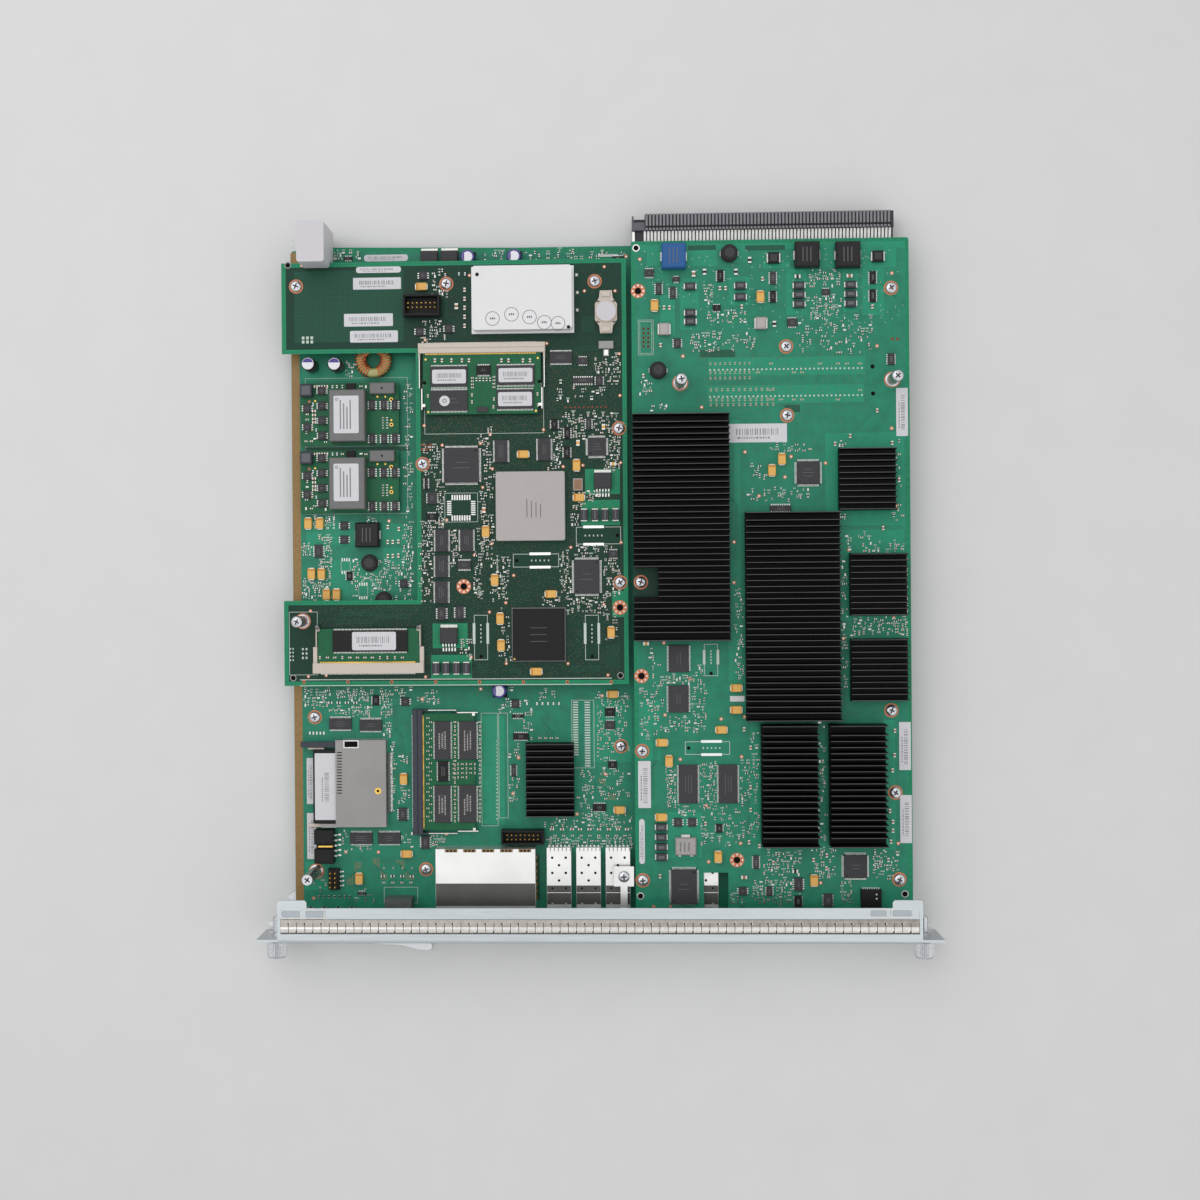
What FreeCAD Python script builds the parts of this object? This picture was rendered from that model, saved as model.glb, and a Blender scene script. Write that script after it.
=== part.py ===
import FreeCAD, Part
import math
import os
from FreeCAD import Vector

os.makedirs("parts", exist_ok=True)

# Driving dimensions, in millimetres. The front panel faces -Y, the backplane connector +Y.

# Front panel, one folded sheet with an ear at each end
MODULE_DEPTH = 414.4         # face of the panel to the rear of the backplane connector
PANEL_WIDTH = 362.6
PANEL_HEIGHT = 40.0
PANEL_SHEET = 1.5
PANEL_BEND = 2.2             # outer radius of the folds
TOP_FLANGE_DEPTH = 20.2
BOTTOM_FLANGE_DEPTH = 20.0
END_TAB_LENGTH = 4.4         # how far the flange's end tabs reach back past it
END_TAB_WIDTH = 16.8
END_TAB_CLIP = 1.2
EAR_REACH = 13.0             # each ear, past the end of the panel
EAR_BOTTOM = 6.0
EAR_TOP = 36.0
PAD_WIDTH = 12.0             # pressed pads at the ends of the flange
PAD_LENGTH = 5.6
PAD_DEPTH = 0.5
PAD_INSETS = (7.8, 22.1)     # pad centres, from the end of the panel

# Spring-finger gasket along the top flange
GASKET_SETBACK = 5.6         # from the face of the panel
GASKET_WIDTH = 8.3
GASKET_RISE = 1.35
GASKET_CHANNEL = 0.7
GASKET_END = 2.0             # bare flange left at each end
GASKET_CREST = (0.27, 0.5)   # front and rear of the crest, as shares of the width

# Ejector levers and captive thumbscrews
LEVER_CLEARANCE = 0.3
PIVOT_INSET = 6.8            # pivot, from the end of the panel
PIVOT_SETBACK = 14.0         # pivot, behind the face of the panel
PIN_RADIUS = 2.5
PIN_CLEARANCE = 0.2
HUB_RADIUS = 6.3
HANDLE_REACH = 78.5
HANDLE_DEPTH = 3.7
HANDLE_BULGE = 1.1
REAR_CLAW_REACH = 8.3
REAR_CLAW_BACK = 10.4
FRONT_CLAW_REACH = 18.4
FRONT_CLAW_WIDTH = 2.4
LEFT_LEVER_OPEN = 4.4        # degrees
SCREW_INSET = 4.2            # thumbscrew axis, past the end of the panel
SCREW_HEIGHT = 20.0
KNOB_RADIUS = 5.7
KNOB_LENGTH = 9.4
KNOB_GAP = 2.7
SHANK_RADIUS = 1.6
SHANK_LENGTH = 12.0          # behind the face of the panel
THREAD_RADIUS = 2.1
FERRULE_WALL = 1.0
FERRULE_PROUD = 0.9           # behind the ear
FERRULE_CLEARANCE = 0.3

# Board stack, from the carrier sheet up
CARRIER_SHEET = 1.0
CARRIER_MARGIN = 1.2         # the carrier stays this far inside the base board
LOW_SPACER = 4.0
BASE_THICKNESS = 2.4
HIGH_SPACER = 10.2
DAUGHTER_THICKNESS = 2.0
BASE_INSET = 4.5             # base board's side edges, inside the ends of the panel
BASE_REAR_STEP = 16.3        # base board, short of the connector's rear
BOARD_FRONT_GAP = 0.5
FORWARDING_WIDTH = 157.7
FORWARDING_OVERHANG = 2.6    # past the base board's right edge
FORWARDING_TUCK = 12.0       # under the panel's flange
FORWARDING_SLOT_WIDTH = 13.9
FORWARDING_SLOT_LENGTH = 16.4
FORWARDING_SLOT_CENTRE = 46.0 # from the forwarding board's left edge
ROUTING_OVERHANG = 3.1       # past the base board's left edge
ROUTING_REAR_STEP = 9.5
ROUTING_LENGTH = 243.8
ROUTING_NOTCH_DEPTH = 78.4
ROUTING_NOTCH_START = 51.8
ROUTING_NOTCH_LENGTH = 143.3
BOARD_GAP = 3.0
BOARD_CORNER = 1.5
SPACER_FLATS = 6.0           # hexagonal spacers, across the flats
SCREW_HEAD_RADIUS = 3.4
SCREW_HEAD_SIDES = 8
CAN_SIDES = 12               # round cans and coils
SCREW_HEAD_HEIGHT = 2.0
COVER_STANDOFF_FLATS = 6.4
COVER_STANDOFF_TOP = 37.6
MEZZANINE_WIDTH = 7.4

# Rear connector and guide block
CONNECTOR_WIDTH = 149.2
CONNECTOR_INSET = 0.8        # from the forwarding board's left edge
CONNECTOR_BOTTOM = 2.0
CONNECTOR_HEAD = 9.3         # depth of the ribbed head
CONNECTOR_FOOT = 18.0        # depth of the foot on the base board
CONNECTOR_FOOT_HEIGHT = 5.5
CONNECTOR_HEAD_GAP = 0.4     # below the daughter board's underside
CONNECTOR_END_BLOCK = 7.4
CONNECTOR_RIB_PITCH = 6.0
CONNECTOR_RIB = 3.4
CONNECTOR_RIB_HEIGHT = 1.4
CONTACT_SIZE = 1.2
GUIDE_WIDTH = 15.6
GUIDE_LENGTH = 23.3
GUIDE_TOP = 40.0
GUIDE_LEFT = 9.5             # from the base board's left edge
GUIDE_OVERHANG = 10.8        # past the base board's rear edge
GUIDE_CLIP = 0.9
GUIDE_SPAN_GAP = 0.5         # over the routing board
GUIDE_BORE_RADIUS = 4.0
GUIDE_BORE_HEIGHT = 29.5
GUIDE_BORE_DEPTH = 18.0

# Front ports
PORT_CLEARANCE = 0.3
CAGE_WIDTH = 14.0
CAGE_HEIGHT = 9.6
CAGE_LENGTH = 51.0
CAGE_WALL = 0.6
CAGE_CENTRES = (-22.3, -5.3, 11.6, 62.0)
CARD_HOUSING_WIDTH = 57.3
CARD_HOUSING_HEIGHT = 14.4
CARD_HOUSING_LENGTH = 51.0
CARD_HOUSING_CENTRE = -64.4
CARD_SLOT_WIDTH = 43.4
CARD_SLOT_HEIGHT = 4.8
CARD_SLOT_DEPTH = 46.0
CARD_SLOT_INSET = 2.6        # from the housing's left side
CARD_SLOT_FLOOR = 1.6
CARD_SLOT_RIB = 1.6          # between the two slots
BUTTON_WIDTH = 5.0
BUTTON_HEIGHT = 3.0
BUTTON_LENGTH = 16.0
BUTTON_PROUD = 3.0
BUTTON_TRAVEL = 2.0
BUTTON_CLEARANCE = 0.3
JACK_WIDTH = 15.4
JACK_HEIGHT = 13.2
JACK_LENGTH = 22.0
JACK_CENTRE = -115.1
JACK_MOUTH_WIDTH = 11.9
JACK_MOUTH_HEIGHT = 8.4
JACK_MOUTH_DEPTH = 14.0
JACK_FLOOR = 2.2
JACK_KEY_WIDTH = 5.0
JACK_KEY_HEIGHT = 1.2
RESET_CENTRE = -141.0
RESET_RADIUS = 1.3
RESET_HEIGHT = 4.2           # above the base board
RESET_PROUD = 0.8
RESET_TRAVEL = 0.8
SWITCH_SIZE = 6.2
BRACKET_CENTRE = 15.0
BRACKET_WIDTH = 11.4
BRACKET_TAB = 11.4
BRACKET_SETBACK = 29.0       # front edge of the tab, behind the face of the panel
BRACKET_WEB = 4.0
BRACKET_SHEET = 1.4

# Memory sockets and modules
SOCKET_BAR = 5.8
SOCKET_HEIGHT = 5.4
SOCKET_ARM = 2.3
SOCKET_LEDGE = 1.6
SOCKET_SLOT = 3.0            # how far a module's edge goes into the bar
MODULE_CLEARANCE = 0.3
MODULE_LIFT = 2.6
MODULE_BOARD = 1.0
MODULE_CHIP = 1.2
WIDE_MODULE = (67.6, 33.0)
SMALL_MODULE = (58.6, 22.4)
LATCH_STOCK = 0.6
LATCH_LENGTH = 12.0
LATCH_HOOK = 1.6

# Flash card and its socket on the base board
FLASH_SOCKET_WIDTH = 29.4
FLASH_SOCKET_LENGTH = 50.5
FLASH_SOCKET_HEIGHT = 6.6
FLASH_RAIL = 9.0
FLASH_RAIL_WIDTH = 2.2
FLASH_CARD_WIDTH = 42.8
FLASH_CARD_DEPTH = 36.4
FLASH_CARD_HEIGHT = 3.3
FLASH_CARD_LIFT = 1.6
FLASH_CARD_PROUD = 13.4      # part of the card left outside the socket
FLASH_CLEARANCE = 0.3
EJECT_BAR_WIDTH = 3.0
EJECT_BAR_LENGTH = 22.6
EJECT_BAR_HEIGHT = 3.0
EJECT_BAR_PROUD = 20.6
EJECT_BAR_WALL = 0.9
EJECT_TRAVEL = 4.0

# Heat sinks: width, length and height of each, and the comb of fins they share
SINK_BASE = 2.4
FIN_PITCH = 3.4
FIN_THICKNESS = 1.3
SINK_CHIP_HEIGHT = 2.6
SINK_CHIP_SIZE = 26.0
LEFT_SINK = (54.8, 129.4, 11.0)
MIDDLE_SINK = (53.6, 118.8, 11.0)
SMALL_SINK = (32.3, 35.5, 8.5)
TALL_SINK = (32.0, 69.2, 13.0)
BASE_SINK = (27.9, 42.7, 9.0)
SINK_SCREW_NOTCH = (12.5, 16.5)
SINK_ROW_GAP = 1.8           # from the middle sink's front to the tall sinks

# Surface-mounted packages: width, length, height
LIDDED_ARRAY = (40.2, 40.2, 3.4)
PROCESSOR = (31.0, 31.0, 3.0)
QUAD_LARGE = (22.4, 22.4, 2.2)
QUAD_TALL = (17.0, 22.0, 2.2)
QUAD_MEDIUM = (15.4, 15.4, 2.2)
QUAD_SMALL = (12.8, 12.8, 1.8)
MEMORY_CHIP = (12.6, 22.4, 1.4)
BUFFER_CHIP = (9.2, 13.2, 1.6)
WIDE_CHIP = (13.4, 8.4, 1.6)
LONG_CHIP = (12.4, 5.0, 1.6)
LOGIC_CHIP = (6.6, 8.0, 1.6)
SMALL_CHIP = (6.4, 5.2, 1.6)
REGULATOR = (10.4, 10.4, 4.4)
TANTALUM = (7.3, 4.3, 2.8)
MOULDED = (7.4, 4.2, 3.0)
FILM_CAP = (4.6, 7.4, 3.6)
SQUARE_COIL = (13.6, 14.4, 6.5)
ROUND_COIL_RADIUS = 5.2
ROUND_COIL_HEIGHT = 5.0
INPUT_CAP_RADIUS = 3.9
INPUT_CAP_HEIGHT = 15.0
POLYMER_CAP_RADIUS = 4.2
POLYMER_CAP_HEIGHT = 8.6
BOX_HEADER = (20.8, 12.1, 8.8)
LONG_HEADER = (24.8, 8.2, 8.8)
EDGE_HEADER = (14.7, 19.6, 7.0)
PIN_HEADER = (8.8, 12.3, 8.0)
HEADER_WALL = 1.1
HEADER_PIN = 0.7
HEADER_PITCH = 2.54
HEADER_GAP = 1.6             # between the long header and the card housing

# Power parts in the routing board's notch, and larger parts on the routing board
CONVERTER = (57.4, 36.2, 1.6)
CONVERTER_LIFT = 3.0
CONVERTER_CORE = (20.5, 29.8, 8.6)
CONVERTER_BLOCK = (14.4, 6.4, 4.6)
CONVERTER_END = (7.0, 7.0, 5.0)
CHOKE_RADIUS = 7.6           # ring's centre line
CHOKE_SECTION = 5.0
CHOKE_WIRE = 1.1
CHOKE_TURNS = 10
CHOKE_GAP = 0.15
POWER_BOX = (58.8, 38.4, 8.4)
POWER_BOX_BOARD = 1.6
POWER_BOX_CLIP = 1.2
HOLDER = (12.6, 14.0, 5.0)      # coin-cell holder, without its end tabs
HOLDER_TAB = (6.0, 24.1, 2.2)
HOLDER_CLIP = 3.2              # clipped corners of the holder
COIN_RADIUS = 5.0
COIN_HEIGHT = 1.2

# Levels and edges that follow from those sizes
KNOB_REACH = KNOB_GAP + KNOB_LENGTH
FACE_Y = (KNOB_REACH - MODULE_DEPTH) / 2
REAR_Y = FACE_Y + MODULE_DEPTH
HALF_PANEL = PANEL_WIDTH / 2
FACE_BACK = FACE_Y + PANEL_SHEET
FLANGE_REAR = FACE_Y + TOP_FLANGE_DEPTH
CARRIER_TOP = CARRIER_SHEET
BASE_BOTTOM = CARRIER_TOP + LOW_SPACER
BASE_TOP = BASE_BOTTOM + BASE_THICKNESS
DAUGHTER_BOTTOM = BASE_TOP + HIGH_SPACER
DAUGHTER_TOP = DAUGHTER_BOTTOM + DAUGHTER_THICKNESS
LEVER_BOTTOM = PANEL_SHEET + LEVER_CLEARANCE
LEVER_TOP = BASE_BOTTOM - LEVER_CLEARANCE
PIVOT_X = HALF_PANEL - PIVOT_INSET
PIVOT_Y = FACE_Y + PIVOT_SETBACK
SCREW_X = HALF_PANEL + SCREW_INSET
BASE_WIDTH = PANEL_WIDTH - 2 * BASE_INSET
BASE_LEFT = -BASE_WIDTH / 2
BASE_RIGHT = BASE_WIDTH / 2
BASE_REAR = REAR_Y - BASE_REAR_STEP
BASE_FRONT = FACE_BACK + BOARD_FRONT_GAP
FORWARDING_RIGHT = BASE_RIGHT + FORWARDING_OVERHANG
FORWARDING_LEFT = FORWARDING_RIGHT - FORWARDING_WIDTH
ROUTING_LEFT = BASE_LEFT - ROUTING_OVERHANG
ROUTING_RIGHT = FORWARDING_LEFT - BOARD_GAP
ROUTING_REAR = BASE_REAR - ROUTING_REAR_STEP
ROUTING_FRONT = ROUTING_REAR - ROUTING_LENGTH
NOTCH_RIGHT = ROUTING_LEFT + ROUTING_NOTCH_DEPTH
NOTCH_REAR = ROUTING_REAR - ROUTING_NOTCH_START
NOTCH_FRONT = NOTCH_REAR - ROUTING_NOTCH_LENGTH

# Fields that hold components: left edge, rear edge, width, length, level of the board
BASE = (BASE_LEFT, BASE_REAR, BASE_WIDTH, BASE_REAR - FLANGE_REAR, BASE_TOP)
ROUTING = (ROUTING_LEFT, ROUTING_REAR, ROUTING_RIGHT - ROUTING_LEFT, ROUTING_LENGTH, DAUGHTER_TOP)
FORWARDING = (FORWARDING_LEFT, BASE_REAR, FORWARDING_WIDTH, BASE_REAR - FLANGE_REAR, DAUGHTER_TOP)
NOTCH = (BASE_LEFT, NOTCH_REAR, NOTCH_RIGHT - BASE_LEFT, ROUTING_NOTCH_LENGTH, BASE_TOP)
BAY = (BASE_LEFT, ROUTING_FRONT, ROUTING_RIGHT - BASE_LEFT, ROUTING_FRONT - FLANGE_REAR, BASE_TOP)


# Shared shapes

def save(name, *shapes):
    """Write one node, a single solid or a group of separate ones."""
    shape = shapes[0] if len(shapes) == 1 else Part.makeCompound(list(shapes))
    shape.exportStep(f"parts/{name}.step")


def box(x0, x1, y0, y1, z0, z1):
    return Part.makeBox(x1 - x0, y1 - y0, z1 - z0, Vector(x0, y0, z0))


def block(x, y, z, size):
    """A box of the given width, length and height that stands on level z."""
    width, length, height = size
    return box(x - width / 2, x + width / 2, y - length / 2, y + length / 2, z, z + height)


def turned(size):
    width, length, height = size
    return (length, width, height)


def prism(points, z0, z1):
    corners = [Vector(x, y, z0) for x, y in points]
    outline = Part.makePolygon(corners + corners[:1])
    return Part.Face(outline).extrude(Vector(0, 0, z1 - z0))


def polygon(x, y, z0, z1, radius, sides):
    """An upright prism with flat sides; the radius is that of its corners."""
    angles = [2 * math.pi * (i + 0.5) / sides for i in range(sides)]
    return prism([(x + radius * math.cos(a), y + radius * math.sin(a)) for a in angles], z0, z1)


def hexagon(x, y, z0, z1, flats):
    return polygon(x, y, z0, z1, flats / math.sqrt(3), 6)


def clipped(solid, size):
    """Cut the upright edges of a solid at a slant."""
    upright = [e for e in solid.Edges if abs(e.BoundBox.ZLength - e.Length) < 1e-6]
    return solid.makeChamfer(size, upright)


def site(field, across, back):
    """A point of a field, given in percent from its rear left corner, with the board's level."""
    left, rear, width, length, level = field
    return left + width * across / 100, rear - length * back / 100, level


def parts_at(field, size, *sites):
    return [block(*site(field, across, back), size) for across, back in sites]


def can(spot, height, radius):
    x, y, z = spot
    return polygon(x, y, z, z + height, radius, CAN_SIDES)


def mirrored(shape):
    return shape.mirror(Vector(0, 0, 0), Vector(1, 0, 0))


# Front panel

def panel_section():
    """The folded sheet's section: bottom flange, face and top flange, round outside the folds."""
    top = PANEL_HEIGHT
    y_bend = FACE_Y + PANEL_BEND
    slant = math.sqrt(0.5)

    def bend(centre_z, start, end, up):
        middle = Vector(0, y_bend - PANEL_BEND * slant, centre_z + up * PANEL_BEND * slant)
        return Part.Arc(start, middle, end).toShape()

    outer = [
        Vector(0, FLANGE_REAR, top),
        Vector(0, y_bend, top),
        Vector(0, FACE_Y, top - PANEL_BEND),
        Vector(0, FACE_Y, PANEL_BEND),
        Vector(0, y_bend, 0),
        Vector(0, FACE_Y + BOTTOM_FLANGE_DEPTH, 0),
    ]
    inside = [
        Vector(0, FACE_Y + BOTTOM_FLANGE_DEPTH, PANEL_SHEET),
        Vector(0, FACE_BACK, PANEL_SHEET),
        Vector(0, FACE_BACK, top - PANEL_SHEET),
        Vector(0, FLANGE_REAR, top - PANEL_SHEET),
    ]
    edges = [
        Part.makeLine(outer[0], outer[1]),
        bend(top - PANEL_BEND, outer[1], outer[2], 1),
        Part.makeLine(outer[2], outer[3]),
        bend(PANEL_BEND, outer[3], outer[4], -1),
        Part.makeLine(outer[4], outer[5]),
        Part.makeLine(outer[5], inside[0]),
        Part.makeLine(inside[0], inside[1]),
        Part.makeLine(inside[1], inside[2]),
        Part.makeLine(inside[2], inside[3]),
        Part.makeLine(inside[3], outer[0]),
    ]
    return Part.Face(Part.Wire(edges))


def port_window(x, width, z0, height):
    """Tool that cuts a port's window in the face, with the clearance around the port."""
    half = width / 2 + PORT_CLEARANCE
    return box(x - half, x + half, FACE_Y - 1, FACE_BACK + 0.1,
               z0 - PORT_CLEARANCE, z0 + height + PORT_CLEARANCE)


def along_y(radius, x, z, y0, y1):
    return Part.makeCylinder(radius, y1 - y0, Vector(x, y0, z), Vector(0, 1, 0))


def faceted_along_y(radius, x, z, y0, y1, sides):
    """A prism along Y whose sides touch the given radius."""
    bar = polygon(0, 0, -y1, -y0, radius / math.cos(math.pi / sides), sides)
    bar.rotate(Vector(0, 0, 0), Vector(1, 0, 0), 90)
    bar.translate(Vector(x, 0, z))
    return bar


def front_panel():
    sheet = panel_section().extrude(Vector(PANEL_WIDTH, 0, 0))
    sheet.translate(Vector(-HALF_PANEL, 0, 0))
    additions = []
    cuts = []
    for side in (-1, 1):
        tab_size = (END_TAB_WIDTH, END_TAB_LENGTH + 2 * END_TAB_CLIP, PANEL_SHEET)
        tab_y = FLANGE_REAR + END_TAB_LENGTH - tab_size[1] / 2
        tab = block(side * (HALF_PANEL - END_TAB_WIDTH / 2), tab_y, PANEL_HEIGHT - PANEL_SHEET, tab_size)
        additions.append(clipped(tab, END_TAB_CLIP))
        ear = block(side * (HALF_PANEL + EAR_REACH / 2), FACE_Y + PANEL_SHEET / 2, EAR_BOTTOM,
                    (EAR_REACH, PANEL_SHEET, EAR_TOP - EAR_BOTTOM))
        additions.append(ear)
        cuts.append(faceted_along_y(FERRULE_BARREL, side * SCREW_X, SCREW_HEIGHT,
                                    FACE_Y - 1, FACE_BACK + 1, CAN_SIDES))
        for inset in PAD_INSETS:
            cuts.append(block(side * (HALF_PANEL - inset), FLANGE_REAR - PAD_LENGTH / 2 - 1,
                              PANEL_HEIGHT - PAD_DEPTH, (PAD_WIDTH, PAD_LENGTH, 1)))
        slot_inner = PIVOT_X - HANDLE_NECK - 2
        ends = sorted((side * slot_inner, side * (HALF_PANEL + 1)))
        cuts.append(box(*ends, FACE_Y - 1, FACE_Y + PANEL_BEND + 0.3,
                        PANEL_SHEET, LEVER_TOP + LEVER_CLEARANCE))
    half_strip = HALF_PANEL - GASKET_END + 0.2
    cuts.append(box(-half_strip, half_strip, FACE_Y + GASKET_SETBACK - 0.1,
                    FACE_Y + GASKET_SETBACK + GASKET_WIDTH + 0.1,
                    PANEL_HEIGHT - GASKET_CHANNEL, PANEL_HEIGHT + 1))
    for x in CAGE_CENTRES:
        cuts.append(port_window(x, CAGE_WIDTH, BASE_TOP, CAGE_HEIGHT))
    cuts.append(port_window(CARD_HOUSING_CENTRE, CARD_HOUSING_WIDTH, BASE_TOP, CARD_HOUSING_HEIGHT))
    cuts.append(port_window(JACK_CENTRE, JACK_WIDTH, BASE_TOP, JACK_HEIGHT))
    cuts.append(faceted_along_y(RESET_RADIUS + BUTTON_CLEARANCE, RESET_CENTRE, BASE_TOP + RESET_HEIGHT,
                                FACE_Y - 1, FACE_BACK + 1, SCREW_HEAD_SIDES))
    return sheet.multiFuse(additions).removeSplitter().cut(cuts)


def gasket():
    """A low arch in the flange's channel; its fingers are too fine for this source."""
    y0 = FACE_Y + GASKET_SETBACK
    z0 = PANEL_HEIGHT - GASKET_CHANNEL
    half = HALF_PANEL - GASKET_END
    line = [(0, 0)] + [(share * GASKET_WIDTH, GASKET_RISE) for share in GASKET_CREST] + [(GASKET_WIDTH, 0)]
    corners = [Vector(-half, y0 + y, z0 + z) for y, z in line]
    return Part.Face(Part.makePolygon(corners + corners[:1])).extrude(Vector(2 * half, 0, 0))


# Ejector levers, their pins and the captive thumbscrews

HANDLE_NECK = 2.5 * HUB_RADIUS        # where the handle leaves the neck, from the pivot
FERRULE_BARREL = THREAD_RADIUS + FERRULE_WALL


def lever_outline():
    """The left lever, closed, about its pivot: two claws to the left, the handle to the right."""
    back = -PIVOT_SETBACK - 2 * LEVER_CLEARANCE
    front = back - HANDLE_DEPTH
    bulge = front - HANDLE_BULGE
    claw_y = 0.73 * HUB_RADIUS
    front_claw = -PIVOT_SETBACK + PANEL_SHEET + LEVER_CLEARANCE
    return [
        (-REAR_CLAW_REACH, claw_y + 1),
        (-0.3 * REAR_CLAW_REACH, REAR_CLAW_BACK),
        (0.3 * HUB_RADIUS, REAR_CLAW_BACK),
        (0.8 * HUB_RADIUS, claw_y),
        (HUB_RADIUS, 0),
        (1.4 * HUB_RADIUS, -1.3 * HUB_RADIUS),
        (HANDLE_NECK, back),
        (HANDLE_REACH - 2.5, back),
        (HANDLE_REACH, back - 0.3 * HANDLE_DEPTH),
        (HANDLE_REACH, bulge + 0.3 * HANDLE_DEPTH),
        (HANDLE_REACH - 2.5, bulge),
        (HANDLE_REACH - 8, bulge),
        (HANDLE_REACH - 17, front + 0.2 * HANDLE_DEPTH),
        (1.3 * HUB_RADIUS, front),
        (0, front + 0.8 * HANDLE_DEPTH),
        (-0.6 * HUB_RADIUS, front_claw),
        (-FRONT_CLAW_REACH + FRONT_CLAW_WIDTH / 3, front_claw),
        (-FRONT_CLAW_REACH, front_claw + FRONT_CLAW_WIDTH / 2),
        (-FRONT_CLAW_REACH + FRONT_CLAW_WIDTH / 3, front_claw + FRONT_CLAW_WIDTH),
        (-HUB_RADIUS, -0.9 * HUB_RADIUS),
        (-HUB_RADIUS, 0.4 * HUB_RADIUS),
        (-0.7 * HUB_RADIUS, claw_y),
        (-REAR_CLAW_REACH + 1, claw_y),
    ]


def lever():
    plate = prism(lever_outline(), LEVER_BOTTOM, LEVER_TOP)
    bore = PIN_RADIUS + PIN_CLEARANCE
    return plate.cut(polygon(0, 0, LEVER_BOTTOM - 1, LEVER_TOP + 1, bore, 2 * CAN_SIDES))


def placed_lever(open_angle):
    shape = lever()
    shape.rotate(Vector(0, 0, 0), Vector(0, 0, 1), -open_angle)
    shape.translate(Vector(-PIVOT_X, PIVOT_Y, 0))
    return shape


def about_screw(radius, y0, y1, sides):
    return faceted_along_y(radius, SCREW_X, SCREW_HEIGHT, y0, y1, sides)


def captive_screw():
    """Knob ahead of the ear, a narrow shank in the ferrule and the thread behind it."""
    thread_start = FACE_BACK + FERRULE_PROUD + 2 * FERRULE_CLEARANCE
    knob_back = FACE_Y - KNOB_GAP
    knob = about_screw(KNOB_RADIUS, FACE_Y - KNOB_REACH, knob_back, 2 * CAN_SIDES)
    shank = about_screw(SHANK_RADIUS, knob_back, thread_start, CAN_SIDES)
    thread = along_y(THREAD_RADIUS, SCREW_X, SCREW_HEIGHT, thread_start, FACE_Y + SHANK_LENGTH)
    return knob.multiFuse([shank, thread])


def ferrule():
    """A faceted sleeve pressed into the ear."""
    front = FACE_Y - KNOB_GAP + FERRULE_CLEARANCE
    rear = FACE_BACK + FERRULE_PROUD
    sleeve = about_screw(FERRULE_BARREL, front, rear, CAN_SIDES)
    bore = about_screw(SHANK_RADIUS + FERRULE_CLEARANCE, front - 1, rear + 1, CAN_SIDES)
    return sleeve.cut(bore)


save("front_panel", front_panel())
save("emi_gasket", gasket())
save("left_ejector_lever", placed_lever(LEFT_LEVER_OPEN))
save("right_ejector_lever", mirrored(placed_lever(0)))
save("lever_pins", *[polygon(x, PIVOT_Y, PANEL_SHEET, LEVER_TOP, PIN_RADIUS, CAN_SIDES)
                     for x in (-PIVOT_X, PIVOT_X)])
save("right_captive_screw", captive_screw())
save("left_captive_screw", mirrored(captive_screw()))
save("screw_ferrules", ferrule(), mirrored(ferrule()))


# Carrier sheet and boards

def carrier():
    return box(BASE_LEFT + CARRIER_MARGIN, BASE_RIGHT - CARRIER_MARGIN,
               FACE_Y + BOTTOM_FLANGE_DEPTH, BASE_REAR - CARRIER_MARGIN, 0, CARRIER_TOP)


def base_board():
    board = box(BASE_LEFT, BASE_RIGHT, BASE_FRONT, BASE_REAR, BASE_BOTTOM, BASE_TOP)
    return clipped(board, BOARD_CORNER)


def routing_board():
    """A board with a deep notch on its left that leaves two arms."""
    board = prism([
        (ROUTING_LEFT, ROUTING_REAR), (ROUTING_RIGHT, ROUTING_REAR),
        (ROUTING_RIGHT, ROUTING_FRONT), (ROUTING_LEFT, ROUTING_FRONT),
        (ROUTING_LEFT, NOTCH_FRONT), (NOTCH_RIGHT, NOTCH_FRONT),
        (NOTCH_RIGHT, NOTCH_REAR), (ROUTING_LEFT, NOTCH_REAR),
    ], DAUGHTER_BOTTOM, DAUGHTER_TOP)
    return clipped(board, BOARD_CORNER)


def forwarding_board():
    front = FLANGE_REAR - FORWARDING_TUCK
    board = box(FORWARDING_LEFT, FORWARDING_RIGHT, front, BASE_REAR, DAUGHTER_BOTTOM, DAUGHTER_TOP)
    slot_half = FORWARDING_SLOT_WIDTH / 2
    middle = FORWARDING_LEFT + FORWARDING_SLOT_CENTRE
    slot = box(middle - slot_half, middle + slot_half, front - 1, FLANGE_REAR + FORWARDING_SLOT_LENGTH,
               DAUGHTER_BOTTOM - 1, DAUGHTER_TOP + 1)
    return clipped(board, BOARD_CORNER).cut(slot)


save("carrier_plate", carrier())
save("base_board", base_board())
save("routing_board", routing_board())
save("forwarding_board", forwarding_board())

# Spacers, screws and standoffs share their sites

ROUTING_SCREWS = ((4.3, 5.5), (48.1, 5.4), (91.0, 5.3), (97.7, 39.9), (40.8, 47.8), (97.7, 76.1))
FORWARDING_SCREWS = ((55.8, 16.2), (93.6, 7.6), (56.0, 26.6), (2.7, 51.6), (2.7, 77.2), (2.6, 96.8),
                     (92.7, 71.2), (93.9, 83.6), (95.1, 96.7))
BAY_SCREWS = ((6.2, 15.3), (39.2, 86.7), (97.6, 29.5))
ROUTING_STANDOFFS = ((5.5, 84.7),)
FORWARDING_STANDOFFS = ((17.5, 21.5), (93.8, 21.4))
BAY_STANDOFF = (6.3, 87.6)
CARRIER_SPACER_ROWS = (6, 45, 84)
CARRIER_SPACER_COLUMNS = (9, 50, 91)

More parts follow.
